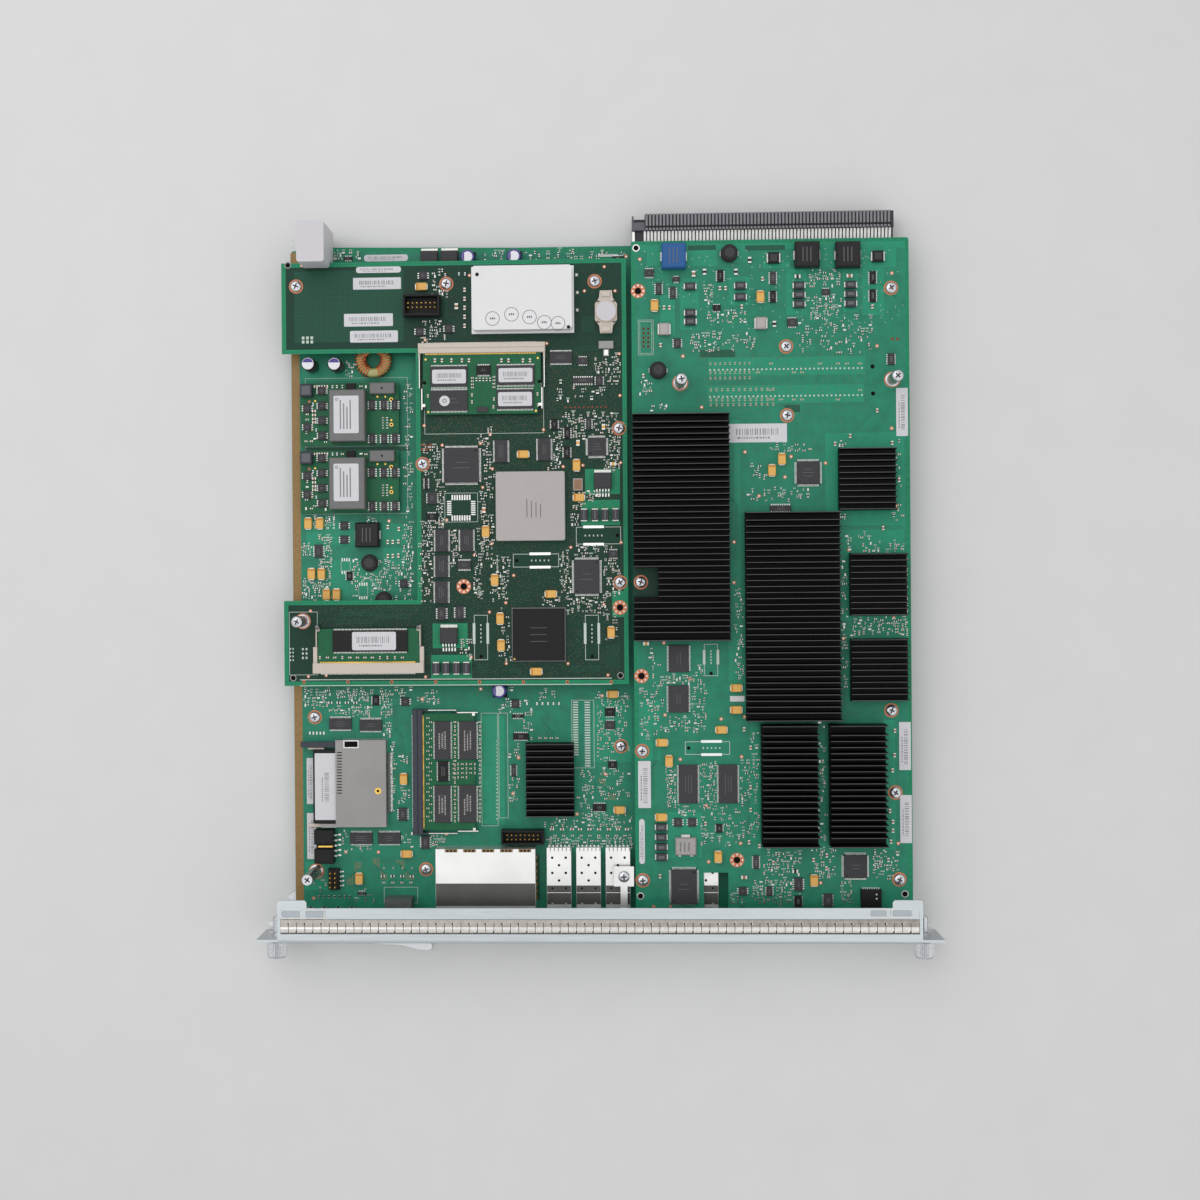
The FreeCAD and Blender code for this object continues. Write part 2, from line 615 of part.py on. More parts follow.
high_sites = [site(ROUTING, *s) for s in ROUTING_SCREWS + ROUTING_STANDOFFS]
high_sites += [site(FORWARDING, *s) for s in FORWARDING_SCREWS + FORWARDING_STANDOFFS]
low_sites = [site(BASE, u, v) for u in CARRIER_SPACER_COLUMNS for v in CARRIER_SPACER_ROWS]
standoff_sites = [site(ROUTING, *s) for s in ROUTING_STANDOFFS]
standoff_sites += [site(FORWARDING, *s) for s in FORWARDING_STANDOFFS]
head_sites = [site(ROUTING, *s) for s in ROUTING_SCREWS]
head_sites += [site(FORWARDING, *s) for s in FORWARDING_SCREWS]
head_sites += [site(BAY, *s) for s in BAY_SCREWS]
head_sites += [(x, y, COVER_STANDOFF_TOP) for x, y, z in standoff_sites]
head_sites += [(BRACKET_CENTRE, FACE_Y + BRACKET_SETBACK + BRACKET_TAB / 2, DAUGHTER_TOP + BRACKET_SHEET)]

save("board_spacers",
     *[hexagon(x, y, CARRIER_TOP, BASE_BOTTOM, SPACER_FLATS) for x, y, z in low_sites],
     *[hexagon(x, y, BASE_TOP, DAUGHTER_BOTTOM, SPACER_FLATS) for x, y, z in high_sites])
save("cover_standoffs",
     *[hexagon(x, y, z, COVER_STANDOFF_TOP, COVER_STANDOFF_FLATS) for x, y, z in standoff_sites],
     hexagon(*site(BAY, *BAY_STANDOFF), COVER_STANDOFF_TOP, COVER_STANDOFF_FLATS))
save("board_screws", *[polygon(x, y, z, z + SCREW_HEAD_HEIGHT, SCREW_HEAD_RADIUS, SCREW_HEAD_SIDES)
                       for x, y, z in head_sites])


# Rear connector, guide block and the connectors between the boards

CONNECTOR_TOP = DAUGHTER_BOTTOM - CONNECTOR_HEAD_GAP
CONNECTOR_LEFT = FORWARDING_LEFT + CONNECTOR_INSET
CONNECTOR_RIGHT = CONNECTOR_LEFT + CONNECTOR_WIDTH
HEAD_FRONT = REAR_Y - CONNECTOR_HEAD
FOOT_FRONT = HEAD_FRONT - CONNECTOR_FOOT
FOOT_TOP = BASE_TOP + CONNECTOR_FOOT_HEIGHT


def rib_centres():
    start = CONNECTOR_LEFT + CONNECTOR_END_BLOCK + CONNECTOR_RIB_PITCH / 2
    count = int((CONNECTOR_WIDTH - CONNECTOR_END_BLOCK) / CONNECTOR_RIB_PITCH)
    return [start + i * CONNECTOR_RIB_PITCH for i in range(count)]


def backplane_connector():
    """A ribbed head behind the base board on a low foot that stands on it."""
    level = CONNECTOR_TOP - CONNECTOR_RIB_HEIGHT
    comb = [(CONNECTOR_LEFT, CONNECTOR_BOTTOM), (CONNECTOR_LEFT, level)]
    for x in rib_centres():
        near = x - CONNECTOR_RIB / 2
        far = x + CONNECTOR_RIB / 2
        comb += [(near, level), (near, CONNECTOR_TOP), (far, CONNECTOR_TOP), (far, level)]
    comb += [(CONNECTOR_RIGHT, level), (CONNECTOR_RIGHT, CONNECTOR_BOTTOM)]
    corners = [Vector(x, HEAD_FRONT, z) for x, z in comb]
    head = Part.Face(Part.makePolygon(corners + corners[:1])).extrude(Vector(0, CONNECTOR_HEAD, 0))
    foot = box(CONNECTOR_LEFT, CONNECTOR_RIGHT, FOOT_FRONT, HEAD_FRONT, BASE_TOP, FOOT_TOP)
    return head.fuse(foot).removeSplitter()


def contact(x):
    """A blade in front of the head that ends on the foot."""
    level = CONNECTOR_TOP - 2 * CONNECTOR_RIB_HEIGHT
    return block(x, HEAD_FRONT - CONTACT_SIZE / 2, FOOT_TOP, (CONTACT_SIZE, CONTACT_SIZE, level - FOOT_TOP))


def guide_block():
    """A tall block on the base board's rear edge; its upper part reaches over the routing board."""
    left = BASE_LEFT + GUIDE_LEFT
    rear = BASE_REAR + GUIDE_OVERHANG
    front = rear - GUIDE_LENGTH
    solid = clipped(box(left, left + GUIDE_WIDTH, front, rear, BASE_TOP, GUIDE_TOP), GUIDE_CLIP)
    under = box(left - 1, left + GUIDE_WIDTH + 1, front - 1, ROUTING_REAR + GUIDE_SPAN_GAP,
                BASE_TOP - 1, DAUGHTER_TOP + GUIDE_SPAN_GAP)
    bore = along_y(GUIDE_BORE_RADIUS, left + GUIDE_WIDTH / 2, GUIDE_BORE_HEIGHT,
                   rear - GUIDE_BORE_DEPTH, rear + 1)
    return solid.cut([under, bore])


save("backplane_connector", backplane_connector())
save("backplane_contacts", *[contact(x) for x in rib_centres()])
save("guide_block", guide_block())


# Front ports

def port(x, width, height, length, proud):
    """Outer body of a port that stands on the base board and reaches out through the face."""
    front = FACE_Y - proud
    return box(x - width / 2, x + width / 2, front, front + length, BASE_TOP, BASE_TOP + height)


PORT_PROUD = 0.4


def transceiver_cage(x):
    front = FACE_Y - PORT_PROUD
    half = CAGE_WIDTH / 2 - CAGE_WALL
    inside = box(x - half, x + half, front - 1, front + CAGE_LENGTH - CAGE_WALL,
                 BASE_TOP + CAGE_WALL, BASE_TOP + CAGE_HEIGHT - CAGE_WALL)
    return port(x, CAGE_WIDTH, CAGE_HEIGHT, CAGE_LENGTH, PORT_PROUD).cut(inside)


SLOT_LEFT = CARD_HOUSING_CENTRE - CARD_HOUSING_WIDTH / 2 + CARD_SLOT_INSET
SLOT_BOTTOMS = (BASE_TOP + CARD_SLOT_FLOOR, BASE_TOP + CARD_SLOT_FLOOR + CARD_SLOT_HEIGHT + CARD_SLOT_RIB)
BUTTON_X = (SLOT_LEFT + CARD_SLOT_WIDTH + CARD_HOUSING_CENTRE + CARD_HOUSING_WIDTH / 2) / 2


def card_button(z):
    """Push bar of one slot's ejector, beside the slot."""
    front = FACE_Y - PORT_PROUD - BUTTON_PROUD
    middle = z + CARD_SLOT_HEIGHT / 2
    return box(BUTTON_X - BUTTON_WIDTH / 2, BUTTON_X + BUTTON_WIDTH / 2, front, front + BUTTON_LENGTH,
               middle - BUTTON_HEIGHT / 2, middle + BUTTON_HEIGHT / 2)


def card_slot_housing():
    """Shielded housing with two card slots, one above the other, and a channel for each push bar."""
    front = FACE_Y - PORT_PROUD
    cuts = []
    for z in SLOT_BOTTOMS:
        cuts.append(box(SLOT_LEFT, SLOT_LEFT + CARD_SLOT_WIDTH, front - 1, front + CARD_SLOT_DEPTH,
                        z, z + CARD_SLOT_HEIGHT))
        half = BUTTON_WIDTH / 2 + BUTTON_CLEARANCE
        middle = z + CARD_SLOT_HEIGHT / 2
        reach = BUTTON_HEIGHT / 2 + BUTTON_CLEARANCE
        channel_end = front - BUTTON_PROUD + BUTTON_LENGTH + BUTTON_TRAVEL + BUTTON_CLEARANCE
        cuts.append(box(BUTTON_X - half, BUTTON_X + half, front - 1, channel_end,
                        middle - reach, middle + reach))
    body = port(CARD_HOUSING_CENTRE, CARD_HOUSING_WIDTH, CARD_HOUSING_HEIGHT, CARD_HOUSING_LENGTH, PORT_PROUD)
    return body.cut(cuts)


def console_jack():
    front = FACE_Y - PORT_PROUD
    half = JACK_MOUTH_WIDTH / 2
    floor = BASE_TOP + JACK_FLOOR
    mouth = box(JACK_CENTRE - half, JACK_CENTRE + half, front - 1, front + JACK_MOUTH_DEPTH,
                floor, floor + JACK_MOUTH_HEIGHT)
    key = box(JACK_CENTRE - JACK_KEY_WIDTH / 2, JACK_CENTRE + JACK_KEY_WIDTH / 2, front - 1,
              front + JACK_MOUTH_DEPTH, floor + JACK_MOUTH_HEIGHT - 0.1,
              floor + JACK_MOUTH_HEIGHT + JACK_KEY_HEIGHT)
    return port(JACK_CENTRE, JACK_WIDTH, JACK_HEIGHT, JACK_LENGTH, PORT_PROUD).cut([mouth, key])


SWITCH_FRONT = BASE_FRONT + BOARD_FRONT_GAP + RESET_TRAVEL


def reset_switch():
    """Body of the tact switch that stands behind the face."""
    return box(RESET_CENTRE - SWITCH_SIZE / 2, RESET_CENTRE + SWITCH_SIZE / 2,
               SWITCH_FRONT, SWITCH_FRONT + SWITCH_SIZE, BASE_TOP, BASE_TOP + RESET_HEIGHT + SWITCH_SIZE / 2)


def reset_button():
    rear = SWITCH_FRONT - RESET_TRAVEL - BUTTON_CLEARANCE / 2
    return faceted_along_y(RESET_RADIUS, RESET_CENTRE, BASE_TOP + RESET_HEIGHT, FACE_Y - RESET_PROUD, rear,
                           SCREW_HEAD_SIDES)


def support_bracket():
    """A tab at the daughter boards' level on a narrower web that ends in a foot behind the face."""
    front = FACE_Y + BRACKET_SETBACK
    z = DAUGHTER_TOP
    half = BRACKET_WIDTH / 2
    tab = box(BRACKET_CENTRE - half, BRACKET_CENTRE + half, front, front + BRACKET_TAB, z, z + BRACKET_SHEET)
    web = box(BRACKET_CENTRE - BRACKET_WEB / 2, BRACKET_CENTRE + BRACKET_WEB / 2, FACE_BACK, front,
              z, z + BRACKET_SHEET)
    foot = box(BRACKET_CENTRE - half, BRACKET_CENTRE + half, FACE_BACK, FACE_BACK + BRACKET_SHEET,
               z, z + BRACKET_TAB)
    return tab.multiFuse([web, foot]).removeSplitter()


for number, centre in enumerate(CAGE_CENTRES, start=1):
    save(f"transceiver_cage_{number}", transceiver_cage(centre))
save("card_slot_housing", card_slot_housing())
save("lower_card_button", card_button(SLOT_BOTTOMS[0]))
save("upper_card_button", card_button(SLOT_BOTTOMS[1]))
save("console_jack", console_jack())
save("reset_button", reset_button())
save("support_bracket", support_bracket())


# Memory sockets, modules and spring latches, made about the middle of the bar, module towards -Y

MODULE_BOTTOM = MODULE_LIFT
MODULE_TOP = MODULE_LIFT + MODULE_BOARD
BAR_FRONT = -SOCKET_BAR / 2
MODULE_REAR = BAR_FRONT + SOCKET_SLOT - MODULE_CLEARANCE


def arm_end(module):
    return MODULE_REAR - module[1] + LATCH_LENGTH - LATCH_HOOK


def memory_socket(module):
    half = module[0] / 2 + MODULE_CLEARANCE
    outer = half + SOCKET_ARM
    bar = box(-outer, outer, BAR_FRONT, SOCKET_BAR / 2, 0, SOCKET_HEIGHT)
    slot = box(-half, half, BAR_FRONT - 1, BAR_FRONT + SOCKET_SLOT,
               MODULE_BOTTOM - MODULE_CLEARANCE, MODULE_TOP + MODULE_CLEARANCE)
    pieces = []
    for side in (-1, 1):
        wall = sorted((side * half, side * outer))
        ledge = sorted((side * (half - SOCKET_LEDGE), side * half))
        pieces.append(box(*wall, arm_end(module), BAR_FRONT, 0, MODULE_TOP))
        pieces.append(box(*ledge, arm_end(module), BAR_FRONT, 0, MODULE_BOTTOM))
    return bar.cut(slot).multiFuse(pieces).removeSplitter()


def memory_module(module, chips):
    """Module board with its chips, given in percent of the module from its rear left corner."""
    width, depth = module
    board = box(-width / 2, width / 2, MODULE_REAR - depth, MODULE_REAR, MODULE_BOTTOM, MODULE_TOP)
    field = (-width / 2, MODULE_REAR, width, depth, MODULE_TOP)
    pieces = [block(*site(field, u, v), (w, l, MODULE_CHIP)) for u, v, w, l in chips]
    return board.multiFuse(pieces).removeSplitter()


def memory_latch(module):
    """Spring strip beside the module's right edge, with a hook over the module's board."""
    inner = module[0] / 2 + MODULE_CLEARANCE
    root = arm_end(module) - MODULE_CLEARANCE
    tip = root - LATCH_LENGTH
    strip = box(inner, inner + LATCH_STOCK, tip, root, MODULE_CLEARANCE, MODULE_TOP + 2 * LATCH_STOCK)
    hook_z = MODULE_TOP + MODULE_CLEARANCE
    hook = box(inner - LATCH_HOOK, inner, tip + LATCH_HOOK, tip + 2 * LATCH_HOOK,
               hook_z, MODULE_TOP + 2 * LATCH_STOCK)
    return strip.fuse(hook).removeSplitter()


def seat_module(shape, field, spot, angle):
    shape.rotate(Vector(0, 0, 0), Vector(0, 0, 1), angle)
    shape.translate(Vector(*site(field, *spot)))
    return shape


WIDE_CHIPS = ((21, 36, 20, 11.5), (79, 36, 20, 11.5), (21, 78, 20, 11.5), (79, 78, 20, 11.5), (50, 45, 9, 9))
SMALL_CHIPS = ((26, 45, 13, 12.5), (50, 45, 13, 12.5), (74, 45, 13, 12.5))
MEMORY_SEATS = (
    (WIDE_MODULE, WIDE_CHIPS, ROUTING, (58.3, 20.8), 0),
    (SMALL_MODULE, SMALL_CHIPS, ROUTING, (24.8, 95.8), 180),
    (WIDE_MODULE, WIDE_CHIPS, BAY, (37.2, 40.8), 90),
)

for number, (module, chips, field, spot, angle) in enumerate(MEMORY_SEATS, start=1):
    save(f"memory_socket_{number}", seat_module(memory_socket(module), field, spot, angle))
    save(f"memory_module_{number}", seat_module(memory_module(module, chips), field, spot, angle))
    save(f"right_latch_{number}", seat_module(memory_latch(module), field, spot, angle))
    save(f"left_latch_{number}", seat_module(mirrored(memory_latch(module)), field, spot, angle))


# Flash card, its socket and the eject bar, from the socket's left rear corner

FLASH_SITE = (12.8, 25.7)
flash_left, flash_rear, flash_z = site(BAY, *FLASH_SITE)
FLASH_FRONT = flash_rear - FLASH_SOCKET_LENGTH
EJECT_CHANNEL_WIDTH = EJECT_BAR_WIDTH + 2 * FLASH_CLEARANCE
EJECT_Y = flash_rear - EJECT_BAR_WALL - EJECT_CHANNEL_WIDTH / 2
CARD_REAR = flash_rear - 2 * EJECT_BAR_WALL - EJECT_CHANNEL_WIDTH - FLASH_CLEARANCE
CARD_FRONT = CARD_REAR - FLASH_CARD_WIDTH
CARD_LEFT = flash_left - FLASH_CARD_PROUD
CARD_BOTTOM = flash_z + FLASH_CARD_LIFT


def flash_card():
    card = box(CARD_LEFT, CARD_LEFT + FLASH_CARD_DEPTH, CARD_FRONT, CARD_REAR,
               CARD_BOTTOM, CARD_BOTTOM + FLASH_CARD_HEIGHT)
    return clipped(card, FLASH_CLEARANCE)


def eject_bar():
    left = flash_left - EJECT_BAR_PROUD
    half = EJECT_BAR_WIDTH / 2
    return box(left, left + EJECT_BAR_LENGTH, EJECT_Y - half, EJECT_Y + half,
               CARD_BOTTOM, CARD_BOTTOM + EJECT_BAR_HEIGHT)


def flash_socket():
    """Flat housing open to the left for the card, with a guide rail ahead of the mouth."""
    body = box(flash_left, flash_left + FLASH_SOCKET_WIDTH, FLASH_FRONT, flash_rear,
               flash_z, flash_z + FLASH_SOCKET_HEIGHT)
    rail_rear = CARD_FRONT - FLASH_CLEARANCE
    rail = box(flash_left - FLASH_RAIL, flash_left, rail_rear - FLASH_RAIL_WIDTH, rail_rear,
               flash_z, CARD_BOTTOM + FLASH_CARD_HEIGHT)
    cavity = box(flash_left - 1, CARD_LEFT + FLASH_CARD_DEPTH + FLASH_CLEARANCE,
                 CARD_FRONT - FLASH_CLEARANCE, CARD_REAR + FLASH_CLEARANCE,
                 CARD_BOTTOM - FLASH_CLEARANCE, CARD_BOTTOM + FLASH_CARD_HEIGHT + FLASH_CLEARANCE)
    half = EJECT_CHANNEL_WIDTH / 2
    bar_end = flash_left - EJECT_BAR_PROUD + EJECT_BAR_LENGTH
    channel = box(flash_left - 1, bar_end + EJECT_TRAVEL + FLASH_CLEARANCE, EJECT_Y - half, EJECT_Y + half,
                  CARD_BOTTOM - FLASH_CLEARANCE, CARD_BOTTOM + EJECT_BAR_HEIGHT + FLASH_CLEARANCE)
    return body.cut([cavity, channel]).fuse(rail).removeSplitter()


save("flash_socket", flash_socket())
save("flash_card", flash_card())
save("flash_eject_bar", eject_bar())


# Finned heat sinks on their chips

def heat_sink(spot, size):
    """A comb section extruded across the sink, fins along X."""
    x, y, level = spot
    width, length, height = size
    z0 = level + SINK_CHIP_HEIGHT
    z1 = z0 + SINK_BASE
    z2 = z0 + height
    rear = y + length / 2
    front = y - length / 2
    count = int((length - FIN_THICKNESS) / FIN_PITCH) + 1
    start = y - (count - 1) * FIN_PITCH / 2
    comb = [(front, z0)]
    for i in range(count):
        middle = start + i * FIN_PITCH
        near = middle - FIN_THICKNESS / 2
        far = middle + FIN_THICKNESS / 2
        comb += [(near, z1), (near, z2), (far, z2), (far, z1)]
    comb += [(rear, z0)]
    comb[1] = (front, z1)
    comb[2] = (front, z2)
    comb[-2] = (rear, z1)
    comb[-3] = (rear, z2)
    corners = [Vector(x - width / 2, along, z) for along, z in comb]
    return Part.Face(Part.makePolygon(corners + corners[:1])).extrude(Vector(width, 0, 0))


LEFT_SINK_SITE = (17.4, 43.4)
MIDDLE_SINK_SITE = (57.2, 56.9)
SMALL_SINK_SITES = ((84.1, 36.4), (87.8, 52.2), (87.9, 65.0))
TALL_SINKS_ACROSS = (55.6, 79.9)
BASE_SINK_SITE = (76.5, 44.4)


left_sink_spot = site(FORWARDING, *LEFT_SINK_SITE)
middle_sink_spot = site(FORWARDING, *MIDDLE_SINK_SITE)
small_sink_spots = [site(FORWARDING, *s) for s in SMALL_SINK_SITES]
tall_sink_y = middle_sink_spot[1] - MIDDLE_SINK[1] / 2 - SINK_ROW_GAP - TALL_SINK[1] / 2
tall_sink_spots = [(site(FORWARDING, u, 0)[0], tall_sink_y, DAUGHTER_TOP) for u in TALL_SINKS_ACROSS]
base_sink_spot = site(BAY, *BASE_SINK_SITE)


def notched_left_sink():
    """The long left sink is cut away round the board screw at its edge."""
    sink = heat_sink(left_sink_spot, LEFT_SINK)
    x, y, z = site(FORWARDING, *FORWARDING_SCREWS[3])
    width, length = SINK_SCREW_NOTCH
    reach = x + width / 2 + SCREW_HEAD_RADIUS
    left = sink.BoundBox.XMin - 1
    return sink.cut(box(left, reach, y - length / 2, y + length / 2, z, z + 2 * LEFT_SINK[2]))


SINK_CHIP = (SINK_CHIP_SIZE, SINK_CHIP_SIZE, SINK_CHIP_HEIGHT)
sink_chips = [block(*spot, SINK_CHIP)
              for spot in [left_sink_spot, middle_sink_spot] + small_sink_spots + tall_sink_spots]

save("left_heat_sink", notched_left_sink())
save("middle_heat_sink", heat_sink(middle_sink_spot, MIDDLE_SINK))
save("small_heat_sinks",
     *[heat_sink(spot, SMALL_SINK) for spot in small_sink_spots],
     *[heat_sink(spot, TALL_SINK) for spot in tall_sink_spots],
     heat_sink(base_sink_spot, BASE_SINK))

# Power converters on the base board

CONVERTER_SITES = ((46.1, 24.3), (45.7, 51.6))
CONVERTER_CORE_SITE = (49.5, 54)
CONVERTER_BLOCK_SITE = (84, 10)
CONVERTER_END_SITE = (7, 12)
CONVERTER_SWITCHES = ((22, 12), (22, 36), (22, 60), (22, 84), (7, 40), (7, 70))
CONVERTER_LOGIC = ((73, 36), (85, 36), (96, 36), (73, 90), (85, 90), (96, 90))


CONVERTER_PIN = (2.0, 2.0, CONVERTER_LIFT)


def converter_field(spot):
    x, y, z = site(NOTCH, *spot)
    width, length, thickness = CONVERTER
    return (x - width / 2, y + length / 2, width, length, z + CONVERTER_LIFT + thickness)


def converter_board(spot):
    """Small board raised on four pins above the base board."""
    x, y, z = site(NOTCH, *spot)
    board = block(x, y, z + CONVERTER_LIFT, CONVERTER)
    pins = []
    for dx in (-0.44, 0.44):
        for dy in (-0.42, 0.42):
            pins.append(block(x + dx * CONVERTER[0], y + dy * CONVERTER[1], z, CONVERTER_PIN))
    return board.multiFuse(pins).removeSplitter()


converters = [converter_field(s) for s in CONVERTER_SITES]
save("converter_boards", *[converter_board(s) for s in CONVERTER_SITES])

# Chips of each board

save("routing_chips",
     *parts_at(ROUTING, LIDDED_ARRAY, (72.0, 58.0)),
     *parts_at(ROUTING, PROCESSOR, (74.1, 88.2)),
     *parts_at(ROUTING, QUAD_LARGE, (52.1, 48.2)),
     *parts_at(ROUTING, QUAD_TALL, (88.1, 74.7)),
     *parts_at(ROUTING, QUAD_SMALL, (91.3, 44.2)),
     *parts_at(ROUTING, BUFFER_CHIP, (63.6, 45.0), (76.1, 44.7), (46.2, 65.9), (46.1, 72.0), (46.0, 78.1),
               (53.4, 65.9)),
     *parts_at(ROUTING, LOGIC_CHIP, (46.0, 83.1), (51.2, 82.9)),
     *parts_at(ROUTING, turned(LOGIC_CHIP), (52.7, 71.7)),
     *parts_at(ROUTING, WIDE_CHIP, (81.1, 23.1)),
     *parts_at(ROUTING, LONG_CHIP, (87.4, 28.6)),
     *parts_at(ROUTING, SMALL_CHIP, (41.4, 3.4), (40.3, 16.6), (48.7, 16.0)),
     *parts_at(ROUTING, REGULATOR, (92.9, 52.1), (48.1, 88.2)))
save("forwarding_chips", *sink_chips,
     *parts_at(FORWARDING, QUAD_MEDIUM, (63.4, 35.3), (79.3, 94.7)),
     *parts_at(FORWARDING, turned(WIDE_CHIP), (16.2, 63.2), (16.0, 69.3)),
     *parts_at(FORWARDING, LONG_CHIP, (53.3, 40.6)),
     *parts_at(FORWARDING, MEMORY_CHIP, (19.3, 82.2), (33.7, 82.2)),
     *parts_at(FORWARDING, QUAD_SMALL, (18.2, 91.5), (84.8, 99.6)),
     *parts_at(FORWARDING, QUAD_TALL, (17.5, 97.7)),
     *parts_at(FORWARDING, LOGIC_CHIP, (58.8, 97.4), (69.4, 99.8)),
     *parts_at(FORWARDING, SMALL_CHIP, (38.7, 98.4), (15.5, 88.0), (20.6, 88.0)))
save("base_chips", block(*base_sink_spot, SINK_CHIP), reset_switch(),
     *[p for f in converters for p in parts_at(f, SMALL_CHIP, *CONVERTER_SWITCHES)],
     *[p for f in converters for p in parts_at(f, turned(SMALL_CHIP), *CONVERTER_LOGIC)],
     *parts_at(BASE, REGULATOR, (23.1, 1.6), (26.4, 1.6)),
     *parts_at(BAY, WIDE_CHIP, (13.9, 18.4), (23.0, 19.1), (19.9, 72.1), (28.3, 72.1)),
     *parts_at(BAY, SMALL_CHIP, (33.4, 8.2), (66.3, 9.4)),
     *parts_at(BAY, LOGIC_CHIP, (32.4, 60.9), (39.1, 74.0)),
     *parts_at(NOTCH, LOGIC_CHIP, (20.3, 79.6)),
     *parts_at(NOTCH, SMALL_CHIP, (40.4, 69.3), (40.3, 75.0), (86.4, 93.1)))

# Capacitors, coils and headers

save("tantalum_capacitors",
     *parts_at(ROUTING, TANTALUM, (40.9, 6.1), (70.0, 45.8), (86.0, 56.1), (77.7, 78.7), (73.3, 96.9)),
     *parts_at(ROUTING, turned(TANTALUM), (85.4, 48.5), (59.0, 63.9), (61.5, 75.3), (63.0, 84.4),
               (63.2, 90.7), (95.0, 87.8)),
     *parts_at(FORWARDING, TANTALUM, (36.9, 67.7), (36.8, 71.0), (31.4, 74.0), (9.9, 75.9), (9.4, 87.2)),
     *parts_at(FORWARDING, turned(TANTALUM), (8.4, 9.8), (46.6, 8.7), (50.3, 34.9), (53.9, 33.2),
               (12.4, 78.7), (29.9, 93.2), (64.4, 96.8)),
     *parts_at(NOTCH, turned(TANTALUM), (12.5, 68.3), (21.5, 68.3), (14.7, 88.9), (22.5, 88.9), (26.3, 97.3),
               (34.1, 97.3)),
     *parts_at(BAY, TANTALUM, (33.5, 79.4), (97.0, 59.1), (95.2, 5.2)),
     *parts_at(BAY, turned(TANTALUM), (19.2, 90.9), (32.8, 44.3)))
save("moulded_capacitors",
     *parts_at(FORWARDING, MOULDED, (21.3, 7.0), (21.3, 11.0), (21.3, 12.3), (39.4, 7.0), (39.4, 8.7),
               (60.5, 7.1), (60.5, 8.5), (60.5, 9.9), (79.0, 7.1), (79.0, 8.5), (79.0, 9.9), (11.8, 13.4),
               (46.7, 12.7), (9.4, 88.7), (9.4, 90.2), (9.4, 91.7), (9.4, 93.2)),
     *parts_at(FORWARDING, turned(MOULDED), (51.4, 2.9), (88.8, 2.9)),
     *parts_at(ROUTING, FILM_CAP, (44.3, 96.0), (47.2, 96.0), (50.2, 96.0), (53.1, 96.0), (87.4, 60.2),
               (90.6, 60.2), (93.5, 60.2), (96.5, 60.2)))

round_coils = [site(FORWARDING, 35.5, 2.1), site(FORWARDING, 9.5, 19.6), site(NOTCH, 60.0, 84.6),
               site(NOTCH, 70.7, 99.7)]
save("coils",
     *parts_at(FORWARDING, SQUARE_COIL, (15.4, 2.5), (63.3, 2.6), (77.9, 2.7)),
     *parts_at(NOTCH, SQUARE_COIL, (59.0, 73.2)),
     *[can(spot, ROUND_COIL_HEIGHT, ROUND_COIL_RADIUS) for spot in round_coils],
     *[p for f in converters for p in parts_at(f, CONVERTER_CORE, CONVERTER_CORE_SITE)],
     *[p for f in converters for p in parts_at(f, CONVERTER_BLOCK, CONVERTER_BLOCK_SITE)],
     *[p for f in converters for p in parts_at(f, CONVERTER_END, CONVERTER_END_SITE)])

tall_caps = [site(NOTCH, 16.4, 4.5), site(NOTCH, 36.6, 4.7)]
polymer_caps = [site(BASE, 29.5, 1.7), site(BASE, 37.1, 1.7), site(BAY, 61.7, 3.1)]
save("electrolytic_capacitors",
     *[can(spot, INPUT_CAP_HEIGHT, INPUT_CAP_RADIUS) for spot in tall_caps],
     *[can(spot, POLYMER_CAP_HEIGHT, POLYMER_CAP_RADIUS) for spot in polymer_caps])


def shroud(spot, size):
    """Open-topped box of a header."""
    x, y, z = spot
    width, length, height = size
    inside = (width - 2 * HEADER_WALL, length - 2 * HEADER_WALL, height)
    return block(x, y, z, size).cut(block(x, y, z + HEADER_WALL, inside))


def header_pins(spot, size):
    """Two rows of square pins on a header's floor."""
    x, y, z = spot
    width, length, height = size
    count = int((width - 2 * HEADER_WALL) / HEADER_PITCH)
    first = x - (count - 1) / 2 * HEADER_PITCH
    return [block(first + i * HEADER_PITCH, y + row * HEADER_PITCH, z + HEADER_WALL,
                  (HEADER_PIN, HEADER_PIN, 0.75 * height)) for i in range(count) for row in (-0.5, 0.5)]


# The connectors between the boards are hidden under the upper ones
MEZZANINES = ((ROUTING, 78.0, 67.5, 62.0), (FORWARDING, 54.0, 19.0, 90.0), (FORWARDING, 54.0, 24.0, 90.0))
box_header_spot = site(ROUTING, 41.2, 10.8)
housing_rear = FACE_Y - PORT_PROUD + CARD_HOUSING_LENGTH
long_header_spot = (site(BAY, 68.3, 0)[0], housing_rear + HEADER_GAP + LONG_HEADER[1] / 2, BASE_TOP)

save("board_connectors",
     shroud(box_header_spot, BOX_HEADER), *header_pins(box_header_spot, BOX_HEADER),
     shroud(long_header_spot, LONG_HEADER),
     shroud(site(BAY, 10.0, 75.4), EDGE_HEADER),
     shroud(site(BAY, 12.3, 91.0), PIN_HEADER),
     *[block(*site(field, u, v)[:2], BASE_TOP, (length, MEZZANINE_WIDTH, HIGH_SPACER))
       for field, u, v, length in MEZZANINES])


# Choke in the notch, and the larger power parts of the routing board

def choke_core():
    x, y, z = site(NOTCH, *CHOKE_SITE)
    half = CHOKE_SECTION / 2
    bottom = z + CHOKE_WIRE + CHOKE_GAP
    sides = 2 * CAN_SIDES
    outer = polygon(x, y, bottom, bottom + CHOKE_SECTION, CHOKE_RADIUS + half, sides)
    return outer.cut(polygon(x, y, bottom - 1, bottom + CHOKE_SECTION + 1, CHOKE_RADIUS - half, sides))


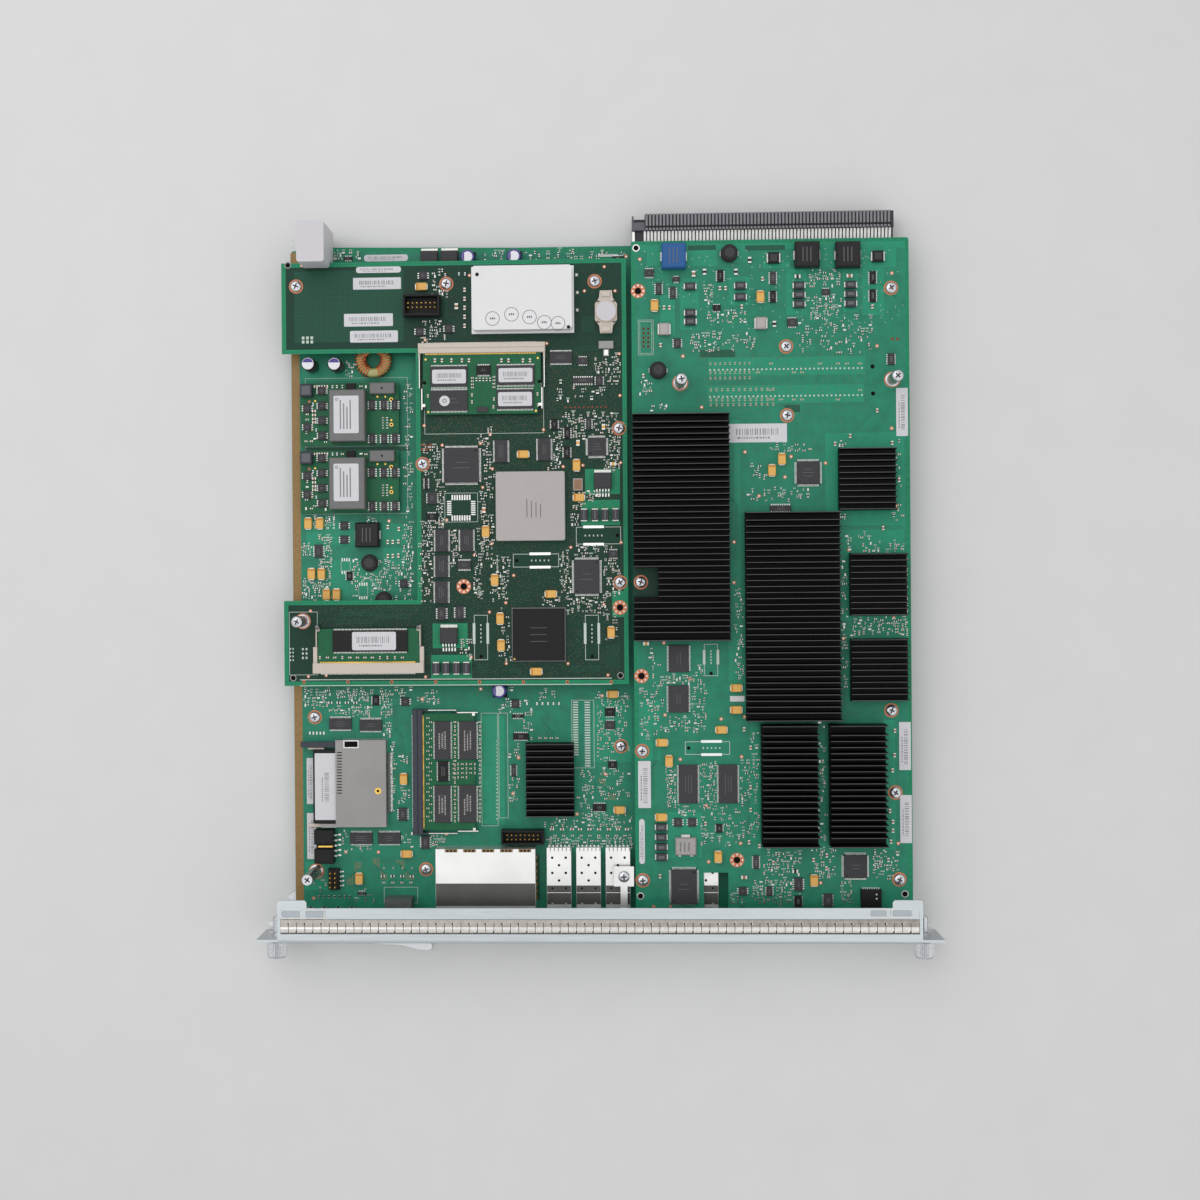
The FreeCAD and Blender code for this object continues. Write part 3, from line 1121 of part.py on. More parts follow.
def choke_turn(angle):
    """One turn of wire, a square loop round the core's section."""
    x, y, z = site(NOTCH, *CHOKE_SITE)
    half = CHOKE_SECTION / 2 + 2 * CHOKE_GAP
    reach = half + CHOKE_WIRE
    thick = CHOKE_WIRE / 2
    floor = z + CHOKE_WIRE
    ceiling = floor + CHOKE_SECTION + 2 * CHOKE_GAP
    loop = box(CHOKE_RADIUS - reach, CHOKE_RADIUS + reach, -thick, thick, z, ceiling + CHOKE_WIRE)
    loop = loop.cut(box(CHOKE_RADIUS - half, CHOKE_RADIUS + half, -reach, reach, floor, ceiling))
    loop.rotate(Vector(0, 0, 0), Vector(0, 0, 1), angle)
    loop.translate(Vector(x, y, 0))
    return loop


CHOKE_SITE = (64.8, 2.4)

save("choke_core", choke_core())
save("choke_winding", *[choke_turn(360 * i / CHOKE_TURNS) for i in range(CHOKE_TURNS)])


def power_box():
    """Potted converter: a moulded case on its own small board."""
    x, y, z = site(ROUTING, 70.2, 9.5)
    width, length, height = POWER_BOX
    case = block(x, y, z + POWER_BOX_BOARD, (width - 2, length - 2, height))
    board = block(x, y, z, (width, length, POWER_BOX_BOARD))
    return clipped(case, POWER_BOX_CLIP).fuse(board)


def coin_holder():
    """Eight-sided holder with a low tab at each end."""
    spot = site(ROUTING, *BATTERY_SITE)
    return clipped(block(*spot, HOLDER), HOLDER_CLIP).fuse(block(*spot, HOLDER_TAB))


def coin_cell():
    x, y, z = site(ROUTING, *BATTERY_SITE)
    return polygon(x, y, z + HOLDER[2], z + HOLDER[2] + COIN_HEIGHT, COIN_RADIUS, CAN_SIDES)


BATTERY_SITE = (94.2, 12.7)

save("power_box", power_box())
save("battery_holder", coin_holder())
save("coin_cell", coin_cell())
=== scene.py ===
import math
import random

import bmesh
import bpy
from mathutils import Matrix, Vector


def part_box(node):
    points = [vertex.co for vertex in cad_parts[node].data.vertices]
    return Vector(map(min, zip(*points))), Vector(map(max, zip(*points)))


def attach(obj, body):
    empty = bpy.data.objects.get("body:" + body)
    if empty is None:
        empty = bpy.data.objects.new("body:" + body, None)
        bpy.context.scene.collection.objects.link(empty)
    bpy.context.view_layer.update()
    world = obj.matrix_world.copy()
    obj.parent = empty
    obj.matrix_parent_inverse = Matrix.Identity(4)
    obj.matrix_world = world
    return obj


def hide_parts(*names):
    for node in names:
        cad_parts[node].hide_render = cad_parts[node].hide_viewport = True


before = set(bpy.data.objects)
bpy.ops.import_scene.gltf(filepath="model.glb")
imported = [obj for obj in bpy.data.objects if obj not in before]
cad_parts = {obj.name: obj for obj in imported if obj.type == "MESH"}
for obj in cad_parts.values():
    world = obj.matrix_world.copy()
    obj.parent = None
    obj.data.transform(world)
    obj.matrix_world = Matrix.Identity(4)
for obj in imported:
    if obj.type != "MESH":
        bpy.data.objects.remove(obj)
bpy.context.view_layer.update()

MM = 0.001
rng = random.Random(11)


# Camera of the photograph, in millimetres and in pixels of the square picture

PICTURE = 1200
SENSOR = 36.0
FOCAL = 1667.0
CENTRE = (548.52, 592.60)
EYE = Vector((10.432, 0.0, 975.49))
TURN = (Matrix.Rotation(math.radians(-0.4501), 3, "Z")
        @ Matrix.Rotation(math.radians(2.2404), 3, "Y")
        @ Matrix.Rotation(math.radians(-0.2334), 3, "X"))


def at(px, py, z):
    """The point at height z that the photograph shows at a pixel."""
    ray = TURN @ Vector(((px - CENTRE[0]) / FOCAL, (CENTRE[1] - py) / FOCAL, -1.0))
    reach = (z - EYE.z) / ray.z
    return EYE.x + ray.x * reach, EYE.y + ray.y * reach


def area_at(px0, px1, py0, py1, z):
    """The rectangle at height z between two pixels: x0, x1, y0, y1."""
    x0, y1 = at(px0, py0, z)
    x1, y0 = at(px1, py1, z)
    return x0, x1, y0, y1


def add(name, data):
    obj = bpy.data.objects.new(name, data)
    bpy.context.scene.collection.objects.link(obj)
    return obj


def camera():
    data = bpy.data.cameras.new("camera")
    data.sensor_width = SENSOR
    data.lens = FOCAL / PICTURE * SENSOR
    data.shift_x = (PICTURE / 2 - CENTRE[0]) / PICTURE
    data.shift_y = (CENTRE[1] - PICTURE / 2) / PICTURE
    data.clip_start = 0.01
    obj = add("camera", data)
    obj.matrix_world = Matrix.Translation(EYE * MM) @ TURN.to_4x4()
    bpy.context.scene.camera = obj


# Materials

def linear(colour):
    return tuple(c / 12.92 if c <= 0.04045 else ((c + 0.055) / 1.055) ** 2.4 for c in colour)


def add_node(tree, kind, values=()):
    node = tree.nodes.new("ShaderNode" + kind)
    for socket, value in dict(values).items():
        node.inputs[socket].default_value = value
    return node


def join(tree, source, output, target, socket):
    tree.links.new(source.outputs[output], target.inputs[socket])


def material(name, colour, rough, metal, vary, grain, bump=0.0, bump_grain=2500, specular=0.5,
             stretch=(1, 1, 1), rough_vary=0.12):
    """A surface whose colour, roughness and relief vary with noise; the colour is as it looks on screen."""
    mat = bpy.data.materials.new(name)
    mat.use_nodes = True
    tree = mat.node_tree
    shader = tree.nodes["Principled BSDF"]
    shader.inputs["Metallic"].default_value = metal
    shader.inputs["Specular IOR Level"].default_value = specular
    place = add_node(tree, "TexCoord")
    mapping = add_node(tree, "Mapping", {"Scale": stretch})
    noise = add_node(tree, "TexNoise", {"Scale": grain, "Detail": 4.0})
    ramp = add_node(tree, "ValToRGB")
    for stop, position, tint in zip(ramp.color_ramp.elements, (0.3, 0.7), (1 - vary, 1 + vary)):
        stop.position = position
        stop.color = tuple(min(1.0, c * tint) for c in linear(colour)) + (1,)
    low, high = max(0.03, rough - rough_vary), min(1.0, rough + rough_vary)
    spread = add_node(tree, "MapRange", {"To Min": low, "To Max": high})
    join(tree, place, "Object", mapping, "Vector")
    join(tree, mapping, "Vector", noise, "Vector")
    join(tree, noise, "Fac", ramp, "Fac")
    join(tree, ramp, "Color", shader, "Base Color")
    join(tree, noise, "Fac", spread, "Value")
    join(tree, spread, "Result", shader, "Roughness")
    if bump:
        fine = add_node(tree, "TexNoise", {"Scale": bump_grain, "Detail": 3.0})
        relief = add_node(tree, "Bump", {"Strength": bump, "Distance": 0.0002})
        join(tree, mapping, "Vector", fine, "Vector")
        join(tree, fine, "Fac", relief, "Height")
        join(tree, relief, "Normal", shader, "Normal")
    return mat


EVEN, ALONG_X, ALONG_Y = (1, 1, 1), (0.04, 1, 1), (1, 0.04, 1)

# Name, colour, roughness, metal, variation, grain, relief, grain of the relief, specular, stretch of the grain,
# variation of the roughness
SKINS = {
    "panel": ("plated_sheet", (0.71, 0.735, 0.75), 0.30, 0.9, 0.05, 900, 0.035, 3000, 0.5, ALONG_X, 0.06),
    "spring": ("spring_strip", (0.79, 0.785, 0.77), 0.24, 0.9, 0.08, 500, 0.1),
    # painted shade: a darker copy of the spring metal for the fingers' rear slopes
    "spring_slope": ("spring_slope", (0.56, 0.545, 0.52), 0.28, 0.85, 0.16, 400, 0.1),
    # painted shade: a darker copy of the panel tone for the tops of the flange's pressed pads
    "pressed": ("pressed_pad", (0.60, 0.635, 0.655), 0.34, 0.8, 0.05, 400, 0.04, 3000, 0.5, ALONG_X),
    "lever": ("satin_lever", (0.78, 0.79, 0.80), 0.36, 0.8, 0.08, 700, 0.15),
    "screw": ("bright_screw", (0.73, 0.735, 0.75), 0.24, 0.9, 0.12, 900, 0.15, 4000),
    "carrier": ("carrier_sheet", (0.66, 0.67, 0.68), 0.36, 0.85, 0.08, 500, 0.1, 2500, 0.5, ALONG_Y),
    "green": ("resist_green", (0.13, 0.51, 0.40), 0.45, 0, 0.14, 160, 0.2, 1800, 0.3),
    "pour": ("resist_over_copper", (0.13, 0.57, 0.44), 0.42, 0, 0.08, 260, 0.15, 2200, 0.3),
    # the routing board's own dark resist, also used as painted shade in the cut of the left sink
    "dark_green": ("resist_dark_green", (0.0, 0.20, 0.14), 0.45, 0, 0.18, 160, 0.2, 1800, 0.25),
    "border": ("resist_border", (0.05, 0.53, 0.37), 0.42, 0, 0.10, 300, 0.15, 2200, 0.3),
    "module": ("module_green", (0.02, 0.36, 0.22), 0.45, 0, 0.14, 300, 0.2, 2200, 0.3),
    "hatch": ("hatched_copper", (0.05, 0.33, 0.24), 0.42, 0, 0.10, 500, 0, 2500, 0.3),
    "laminate": ("bare_laminate", (0.53, 0.42, 0.24), 0.45, 0.25, 0.14, 500, 0.2),
    "chip": ("moulded_epoxy", (0.245, 0.245, 0.26), 0.52, 0, 0.08, 1500, 0.25, 6000, 0.22),
    "chip_dark": ("dark_epoxy", (0.11, 0.108, 0.112), 0.5, 0, 0.10, 1500, 0.25, 6000, 0.2),
    "mark": ("etched_mark", (0.42, 0.42, 0.43), 0.6, 0, 0.10, 1500, 0, 2500, 0.2),
    "dimple": ("dimple_shade", (0.12, 0.12, 0.125), 0.4, 0, 0.1, 1500, 0, 2500, 0.2),
    "lid": ("plated_lid", (0.70, 0.675, 0.67), 0.45, 0.15, 0.03, 120, 0.05, 5000, 0.3),
    "fin": ("black_anodised", (0.035, 0.035, 0.037), 0.5, 0, 0.15, 700, 0.12, 3000, 0.12, ALONG_X),
    # painted highlight for the top edge of each fin
    "fin_top": ("worn_fin_edge", (0.27, 0.27, 0.285), 0.45, 0.2, 0.2, 500, 0.1, 3000, 0.3, ALONG_X),
    "tantalum": ("tantalum_mould", (0.92, 0.71, 0.36), 0.45, 0, 0.06, 900, 0.1, 5000),
    "band": ("tantalum_band", (0.80, 0.52, 0.16), 0.45, 0, 0.08, 900),
    "moulded": ("moulded_case", (0.23, 0.24, 0.265), 0.42, 0, 0.10, 1200, 0.2, 5000, 0.25),
    "pewter": ("cast_case", (0.62, 0.60, 0.59), 0.42, 0.35, 0.10, 900, 0.2, 4000),
    "solder": ("bright_solder", (0.74, 0.74, 0.72), 0.28, 0.8, 0.12, 1800, 0.2, 4000),
    "lead": ("tinned_lead", (0.80, 0.80, 0.79), 0.30, 0.8, 0.10, 1800),
    "copper": ("bare_copper", (0.79, 0.49, 0.35), 0.42, 0.2, 0.12, 1200, 0, 2500, 0.35),
    "via": ("tented_via", (0.47, 0.40, 0.26), 0.45, 0.1, 0.18, 1500, 0, 2500, 0.3),
    "bronze": ("drilled_pad", (0.50, 0.25, 0.16), 0.45, 0.15, 0.12, 1500, 0, 2500, 0.3),
    "pad": ("tinned_pad", (0.72, 0.66, 0.60), 0.42, 0.15, 0.12, 1500, 0, 2500, 0.35),
    "gold": ("gold_contact", (0.86, 0.70, 0.34), 0.30, 0.75, 0.10, 1200),
    "silk": ("legend_ink", (0.80, 0.85, 0.81), 0.6, 0, 0.06, 1500),
    "label": ("label_film", (0.86, 0.86, 0.88), 0.5, 0, 0.02, 300, 0.05, 2000),
    "stamp": ("faint_stamp", (0.42, 0.42, 0.46), 0.5, 0, 0.10, 1500, 0, 2500, 0.2),
    "ink": ("label_ink", (0.55, 0.55, 0.57), 0.6, 0, 0.10, 1500, 0, 2500, 0.2),
    "hole": ("hole_shade", (0.02, 0.02, 0.02), 0.7, 0, 0.1, 1000, 0, 2500, 0.1),
    "black": ("black_moulding", (0.075, 0.075, 0.078), 0.45, 0, 0.14, 900, 0.2, 4000, 0.2),
    "connector": ("connector_moulding", (0.23, 0.23, 0.245), 0.45, 0, 0.10, 900, 0.15, 3500, 0.25),
    "rib": ("connector_rib", (0.53, 0.53, 0.555), 0.45, 0, 0.08, 900, 0.15, 3500, 0.3),
    "ivory": ("ivory_moulding", (0.84, 0.795, 0.75), 0.42, 0, 0.04, 600, 0.1, 3000, 0.3),
    "white": ("white_moulding", (0.85, 0.84, 0.86), 0.45, 0, 0.025, 500, 0.12, 2500, 0.3),
    "enamel": ("white_enamel", (0.94, 0.94, 0.945), 0.42, 0, 0.015, 200, 0.05, 2500, 0.3),
    "slate": ("slate_moulding", (0.24, 0.25, 0.29), 0.45, 0, 0.08, 900, 0.15, 3500, 0.25),
    "pin": ("bright_pin", (0.90, 0.90, 0.89), 0.35, 0.3, 0.06, 900),
    "grey": ("grey_moulding", (0.38, 0.38, 0.41), 0.42, 0, 0.08, 900, 0.15, 3500, 0.3),
    "ferrite": ("ferrite", (0.10, 0.10, 0.105), 0.42, 0.05, 0.14, 900, 0.3, 4000, 0.25),
    "ferrite_grey": ("grey_ferrite", (0.43, 0.43, 0.43), 0.5, 0.05, 0.08, 900, 0.25, 4000),
    "blue": ("blue_coil", (0.14, 0.36, 0.60), 0.38, 0, 0.08, 800, 0.15, 3500, 0.3),
    "wire": ("enamelled_wire", (0.74, 0.42, 0.24), 0.26, 0.6, 0.14, 700),
    "core": ("coated_core", (0.69, 0.68, 0.44), 0.42, 0, 0.06, 800, 0.15, 3500),
    "sleeve": ("maroon_sleeve", (0.17, 0.08, 0.11), 0.26, 0, 0.10, 700),
    "violet": ("violet_sleeve", (0.22, 0.16, 0.52), 0.30, 0, 0.10, 700),
    "can": ("aluminium_can", (0.72, 0.72, 0.74), 0.30, 0.7, 0.06, 900, 0.1, 4000),
    "ceramic": ("ceramic_tan", (0.60, 0.46, 0.36), 0.45, 0, 0.14, 1500, 0, 2500, 0.3),
    "ceramic_blue": ("ceramic_blue", (0.50, 0.66, 0.76), 0.45, 0, 0.10, 1500),
    "resistor": ("resistor_black", (0.12, 0.12, 0.13), 0.42, 0, 0.12, 1500, 0, 2500, 0.25),
    "cage": ("cage_sheet", (0.87, 0.87, 0.865), 0.34, 0.8, 0.07, 45, 0.02, 3000, 0.5, EVEN, 0.05),
    # painted shade: the dark band on the cage and housing tops under the flange, and the dark gaps at the
    # cages' rear edge
    "cage_dark": ("cage_collar", (0.33, 0.33, 0.315), 0.36, 0.5, 0.10, 60, 0.03, 3000, 0.3, EVEN, 0.05),
    "plate": ("satin_plate", (0.55, 0.545, 0.54), 0.40, 0.5, 0.05, 60, 0.05, 5000, 0.3, EVEN, 0.05),
    "jack": ("jack_shell", (0.36, 0.38, 0.37), 0.42, 0.1, 0.08, 300, 0.1, 3500, 0.3),
    "floor": ("pale_floor", (0.90, 0.90, 0.90), 0.7, 0, 0.015, 30),
}
M = {skin: material(*values) for skin, values in SKINS.items()}


# Mesh collector, in millimetres

def rect(x0, x1, y0, y1, z):
    return [(x0, y0, z), (x1, y0, z), (x1, y1, z), (x0, y1, z)]


def circle(x, y, z, radius, sides, start=0.0):
    step = 2 * math.pi / sides
    return [(x + radius * math.cos(start + i * step), y + radius * math.sin(start + i * step), z)
            for i in range(sides)]


class Build:
    """Collects faces, then becomes one piece of the scene."""

    def __init__(self):
        self.points, self.faces, self.marks, self.skins = [], [], [], []
        self.pose = None

    def face(self, points, skin):
        if self.pose:
            points = [self.pose(p) for p in points]
        start = len(self.points)
        self.points += points
        self.faces.append(tuple(range(start, start + len(points))))
        if skin not in self.skins:
            self.skins.append(skin)
        self.marks.append(self.skins.index(skin))

    def loft(self, rings, skin):
        for low, high in zip(rings, rings[1:]):
            for i in range(len(low)):
                j = (i + 1) % len(low)
                self.face([low[i], low[j], high[j], high[i]], skin)

    def box(self, x0, x1, y0, y1, z0, z1, skin, bevel=0.0):
        rings = [rect(x0, x1, y0, y1, z0), rect(x0, x1, y0, y1, z1 - bevel)]
        if bevel:
            rings.append(rect(x0 + bevel, x1 - bevel, y0 + bevel, y1 - bevel, z1))
        self.loft(rings, skin)
        self.face(rings[0][::-1], skin)
        self.face(rings[-1], skin)

    def lying(self, turned, a0, a1, c0, c1, *rest):
        """A box given along and across; turned lays it along Y."""
        self.box(*((c0, c1, a0, a1) if turned else (a0, a1, c0, c1)), *rest)

    def block(self, x, y, z, width, length, height, skin, bevel=0.0):
        self.box(x - width / 2, x + width / 2, y - length / 2, y + length / 2, z, z + height, skin, bevel)

    def flat(self, x0, x1, y0, y1, z, skin):
        self.face(rect(x0, x1, y0, y1, z), skin)

    def patch(self, x, y, z, width, length, skin):
        self.flat(x - width / 2, x + width / 2, y - length / 2, y + length / 2, z, skin)

    def turned(self, x, y, profile, sides, skin, cap_skin=None):
        rings = [circle(x, y, z, r, sides) for r, z in profile]
        self.loft(rings, skin)
        self.face(rings[-1], cap_skin or skin)

    def disc(self, x, y, z, radius, sides, skin):
        self.face(circle(x, y, z, radius, sides), skin)

    def ring(self, x, y, z, inner, outer, sides, skin):
        self.loft([circle(x, y, z, outer, sides), circle(x, y, z, inner, sides)], skin)

    def frame(self, x0, x1, y0, y1, z, width, skin):
        self.flat(x0, x1, y0, y0 + width, z, skin)
        self.flat(x0, x1, y1 - width, y1, z, skin)
        self.flat(x0, x0 + width, y0 + width, y1 - width, z, skin)
        self.flat(x1 - width, x1, y0 + width, y1 - width, z, skin)

    def line(self, points, z, width, skin):
        for (ax, ay), (bx, by) in zip(points, points[1:]):
            length = math.hypot(bx - ax, by - ay)
            if length < 1e-6:
                continue
            nx, ny = -(by - ay) / length * width / 2, (bx - ax) / length * width / 2
            self.face([(ax - nx, ay - ny, z), (bx - nx, by - ny, z), (bx + nx, by + ny, z),
                       (ax + nx, ay + ny, z)], skin)

    def gull(self, x, y, dx, dy, foot, shoulder, reach, width):
        """A bent lead that leaves a body at its shoulder height and ends flat on the board."""
        sx, sy = -dy * width / 2, dx * width / 2
        path = [(0, shoulder), (0.35 * reach, shoulder), (0.6 * reach, foot), (reach, foot)]
        for (a, za), (b, zb) in zip(path, path[1:]):
            self.face([(x + dx * a - sx, y + dy * a - sy, za), (x + dx * b - sx, y + dy * b - sy, zb),
                       (x + dx * b + sx, y + dy * b + sy, zb), (x + dx * a + sx, y + dy * a + sy, za)], "lead")

    def done(self, name, slot, body="chassis", replaces=(), smooth=None):
        mesh = bpy.data.meshes.new(name)
        mesh.from_pydata([(x * MM, y * MM, z * MM) for x, y, z in self.points], [], self.faces)
        for skin in self.skins:
            mesh.materials.append(M[skin])
        mesh.polygons.foreach_set("material_index", self.marks)
        if smooth:
            work = bmesh.new()
            work.from_mesh(mesh)
            bmesh.ops.remove_doubles(work, verts=work.verts, dist=1e-6)
            work.to_mesh(mesh)
            work.free()
            mesh.polygons.foreach_set("use_smooth", [True] * len(mesh.polygons))
            mesh.set_sharp_from_angle(angle=math.radians(smooth))
        mesh.update()
        piece = add(name, mesh)
        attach(piece, body)
        if replaces:
            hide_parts(*replaces)


# Boxes of the frame's nodes and of the separate solids in them, in millimetres

def node_box(node):
    low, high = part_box(node)
    return low.x / MM, high.x / MM, low.y / MM, high.y / MM, low.z / MM, high.z / MM


def islands(node):
    """The boxes of a node's solids, found by joining the faces that share a corner."""
    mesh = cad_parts[node].data
    parent = {}

    def root(k):
        while parent[k] != k:
            parent[k] = parent[parent[k]]
            k = parent[k]
        return k

    keys = [tuple(round(c / MM, 3) for c in v.co) for v in mesh.vertices]
    for k in keys:
        parent.setdefault(k, k)
    for poly in mesh.polygons:
        first = root(keys[poly.vertices[0]])
        for i in poly.vertices[1:]:
            parent[root(keys[i])] = first
    groups = {}
    for k in parent:
        groups.setdefault(root(k), []).append(k)
    return sorted(tuple(end(axis) for axis in zip(*points) for end in (min, max)) for points in groups.values())


def middle(box):
    return (box[0] + box[1]) / 2, (box[2] + box[3]) / 2


BASE, ROUTING, FORWARDING = (node_box(name + "_board") for name in ("base", "routing", "forwarding"))
BASE_TOP, UPPER = BASE[5], ROUTING[5]
UPPER_PARTS = BASE_TOP + 5  # parts that start above this stand on the daughter boards
INK = 0.02  # height of a mark over the face that carries it
LABEL, LABEL_INK = 0.06, 0.08  # thickness of a label, height of its print


# Chips

FINE_PITCH, PITCH, COARSE_PITCH = 0.65, 0.8, 1.27
LEAD_SHARE = 0.55  # width of a lead as a share of the pitch


def lead_rows(b, low, high, sides, heights, reach, pitch, width, along_y=False):
    """Leads on two opposite sides of a body; the heights are those of foot and shoulder."""
    count = max(2, int((high - low - 0.6) / pitch))
    start = (low + high) / 2 - (count - 1) * pitch / 2
    for side, out in zip(sides, (-1, 1)):
        for i in range(count):
            step = start + i * pitch
            b.gull(*((side, step, out, 0) if along_y else (step, side, 0, out)), *heights, reach, width)


def marks(b, x0, x1, y0, y1, z, turned=False):
    """Short plain bars where a package carries its marking."""
    x, y = (x0 + x1) / 2, (y0 + y1) / 2
    rows, thick = rng.randint(2, 3), 0.28
    for row in range(rows):
        share = rng.uniform(0.35, 0.62)
        offset = (row - (rows - 1) / 2) * 0.17
        if turned:
            b.patch(x + offset * (x1 - x0), y, z, thick, share * (y1 - y0), "mark")
        else:
            b.patch(x, y + offset * (y1 - y0), z, share * (x1 - x0), thick, "mark")


def dimple(b, x, y, z, radius):
    b.disc(x, y, z + INK, radius, 12, "dimple")


def quad_package(b, box):
    """Flat package with leads on four sides."""
    x0, x1, y0, y1, z0, z1 = box
    reach, pitch = 1.15, FINE_PITCH
    left, right, front, rear = x0 + reach, x1 - reach, y0 + reach, y1 - reach
    heights = z0 + 0.1, (z0 + z1) / 2
    b.box(left, right, front, rear, z0 + 0.15, z1, "chip", 0.3)
    lead_rows(b, left, right, (front, rear), heights, reach, pitch, LEAD_SHARE * pitch)
    lead_rows(b, front, rear, (left, right), heights, reach, pitch, LEAD_SHARE * pitch, True)
    dimple(b, left + 1.5, front + 1.5, z1, 0.6)
    if x1 - x0 > 16:
        dimple(b, right - 1.6, rear - 1.6, z1, 0.8)
    marks(b, x0 + 2, x1 - 2, y0 + 2, y1 - 2, z1 + INK)


def dual_package(b, box, pitch=PITCH, skin="chip", sides="x", reach=0.9):
    """Package with leads on two opposite sides."""
    x0, x1, y0, y1, z0, z1 = box
    along_y = sides == "x"
    in_x, in_y = (reach, 0.2) if along_y else (0.2, reach)
    b.box(x0 + in_x, x1 - in_x, y0 + in_y, y1 - in_y, z0 + 0.15, z1, skin, 0.22)
    ends = (y0, y1, (x0 + reach, x1 - reach)) if along_y else (x0, x1, (y0 + reach, y1 - reach))
    lead_rows(b, *ends, (z0 + 0.1, (z0 + z1) / 2), reach, pitch, LEAD_SHARE * pitch, along_y)
    dimple(b, x1 - reach - 0.9, y0 + 1.1, z1, 0.35)
    marks(b, x0 + reach + 0.5, x1 - reach - 0.5, y0 + 0.6, y1 - 0.6, z1 + INK, y1 - y0 > x1 - x0)


def rounded_outline(x0, x1, y0, y1, z, radius, steps=4):
    points = []
    left, right, front, rear = x0 + radius, x1 - radius, y0 + radius, y1 - radius
    for quarter, (cx, cy) in enumerate(((right, rear), (left, rear), (left, front), (right, front))):
        for i in range(steps + 1):
            a = math.pi / 2 * (quarter + i / steps)
            points.append((cx + radius * math.cos(a), cy + radius * math.sin(a), z))
    return points


def rounded_slab(b, x0, x1, y0, y1, z0, z1, radius, skin, bevel=0.0):
    rings = [rounded_outline(x0, x1, y0, y1, z, radius) for z in (z0, z1 - bevel)]
    if bevel:
        rings.append(rounded_outline(x0 + bevel, x1 - bevel, y0 + bevel, y1 - bevel, z1, radius - bevel / 2))
    b.loft(rings, skin)
    b.face(rings[-1], skin)


def lidded_array(b, box):
    x0, x1, y0, y1, z0, z1 = box
    x, y = middle(box)
    seam, gap = z0 + 1.4, 0.25
    b.box(x0, x1, y0, y1, z0 + 0.5, seam, "module")
    rounded_slab(b, x0 + gap, x1 - gap, y0 + gap, y1 - gap, seam, z1, 1.3, "lid", gap)
    for i in range(4):
        b.flat(x - 2.2 + i * 2.6, x - 1.7 + i * 2.6, y - 6.5, y + 4.0 - i, z1 + INK, "ferrite_grey")


def ball_array(b, box):
    x0, x1, y0, y1, z0, z1 = box
    seam, rim, z = z0 + 1.1, 0.7, z1 + INK
    b.box(x0, x1, y0, y1, z0 + 0.5, seam, "ferrite_grey")
    b.box(x0 + rim, x1 - rim, y0 + rim, y1 - rim, seam, z1, "black", 0.35)
    b.face([(x0 + 1.2, y0 + 1.2, z), (x0 + 2.4, y0 + 1.2, z), (x0 + 1.2, y0 + 2.4, z)], "gold")
    marks(b, x0 + 4, x1 - 4, y0 + 4, y1 - 4, z)


def regulator(b, box):
    """Power package: a bright tab behind its body, five bent leads in front."""
    x0, x1, y0, y1, z0, z1 = box
    x = (x0 + x1) / 2
    b.box(x0 + 0.2, x1 - 0.2, y0 + 0.3, y1 - 0.9, z0 + 0.2, z1, "chip", 0.5)
    b.box(x0 + 0.3, x1 - 0.3, y1 - 1.2, y1 + 0.9, z0 + 0.05, z0 + 1.3, "solder", 0.1)
    for i in range(5):
        b.gull(x + (i - 2) * 1.7, y0 + 0.3, 0, -1, z0 + 0.12, z0 + 2.0, 4.4, 0.8)


def two_ended(b, box, skin, share, bevel, along_x):
    """Moulded part with a metal cap at each end."""
    x0, x1, y0, y1, z0, z1 = box
    a0, a1, c0, c1 = (x0, x1, y0, y1) if along_x else (y0, y1, x0, x1)
    cap = share * (a1 - a0)
    b.lying(not along_x, a0 + 0.5 * cap, a1 - 0.5 * cap, c0, c1, z0 + 0.1, z1, skin, bevel)
    for low, high in ((a0, a0 + cap), (a1 - cap, a1)):
        b.lying(not along_x, low, high, c0 + 0.5, c1 - 0.5, z0, z0 + 0.6 * (z1 - z0), "solder", 0.1)


def passive(b, x, y, z, size, along_x, skin):
    """Tiny two-ended part; its size is length, width, height."""
    length, width, height = size
    a, c = (x, y) if along_x else (y, x)
    half, side, cap, grow = length / 2, width / 2, 0.27 * length, 0.03
    b.lying(not along_x, a - half, a + half, c - side, c + side, z, z + height, skin)
    for end in (-1, 1):
        low, high = sorted((a + end * half * 1.04, a + end * (half - cap)))
        b.lying(not along_x, low, high, c - side - grow, c + side + grow, z, z + height + grow, "solder")


def metal_can(b, box):
    """Cast case with a bright tab behind it and two short feet."""
    x0, x1, y0, y1, z0, _ = box
    x, top = (x0 + x1) / 2, z0 + 3.2
    b.box(x0 + 0.4, x1 - 0.4, y0 + 1.0, y1 - 1.6, z0, top, "pewter", 0.6)
    b.box(x - 2.6, x + 2.6, y1 - 2.0, y1, z0, z0 + 1.6, "solder", 0.2)
    for side in (-1, 1):
        b.block(x + side * 3.4, y0 + 0.7, z0, 1.8, 1.4, 0.6, "solder", 0.1)
    for i in range(3):
        b.flat(x0 + 3.0 + 2.4 * i, x0 + 3.7 + 2.4 * i, y0 + 3.2, y1 - 4.4, top + INK, "ferrite_grey")


def sealed_block(b, box):
    x0, x1, y0, y1, z0, _ = box
    left, right, front, rear, top = x0 + 0.6, x1 - 0.6, y0 + 0.8, y1 - 0.8, z0 + 2.4
    b.box(left, right, front, rear, z0, top, "black", 0.3)
    for i in range(2):
        b.disc(x1 - 3.4, y1 - 3.6 - 2.4 * i, top + INK, 0.55, 12, "silk")
    lead_rows(b, left, right, (front, rear), (z0 + 0.1, z0 + 1.2), 0.8, COARSE_PITCH, 0.6)


WIDE_PACKAGES = (at(678.6, 658.4, UPPER), at(678.5, 699.0, UPPER))
METAL_CAN = at(685.7, 845.7, UPPER)
SEALED_BLOCK = at(871.2, 899.2, UPPER)


def near(box, spot, reach=3.0):
    x, y = middle(box)
    return box[4] > UPPER_PARTS and math.hypot(x - spot[0], y - spot[1]) < reach


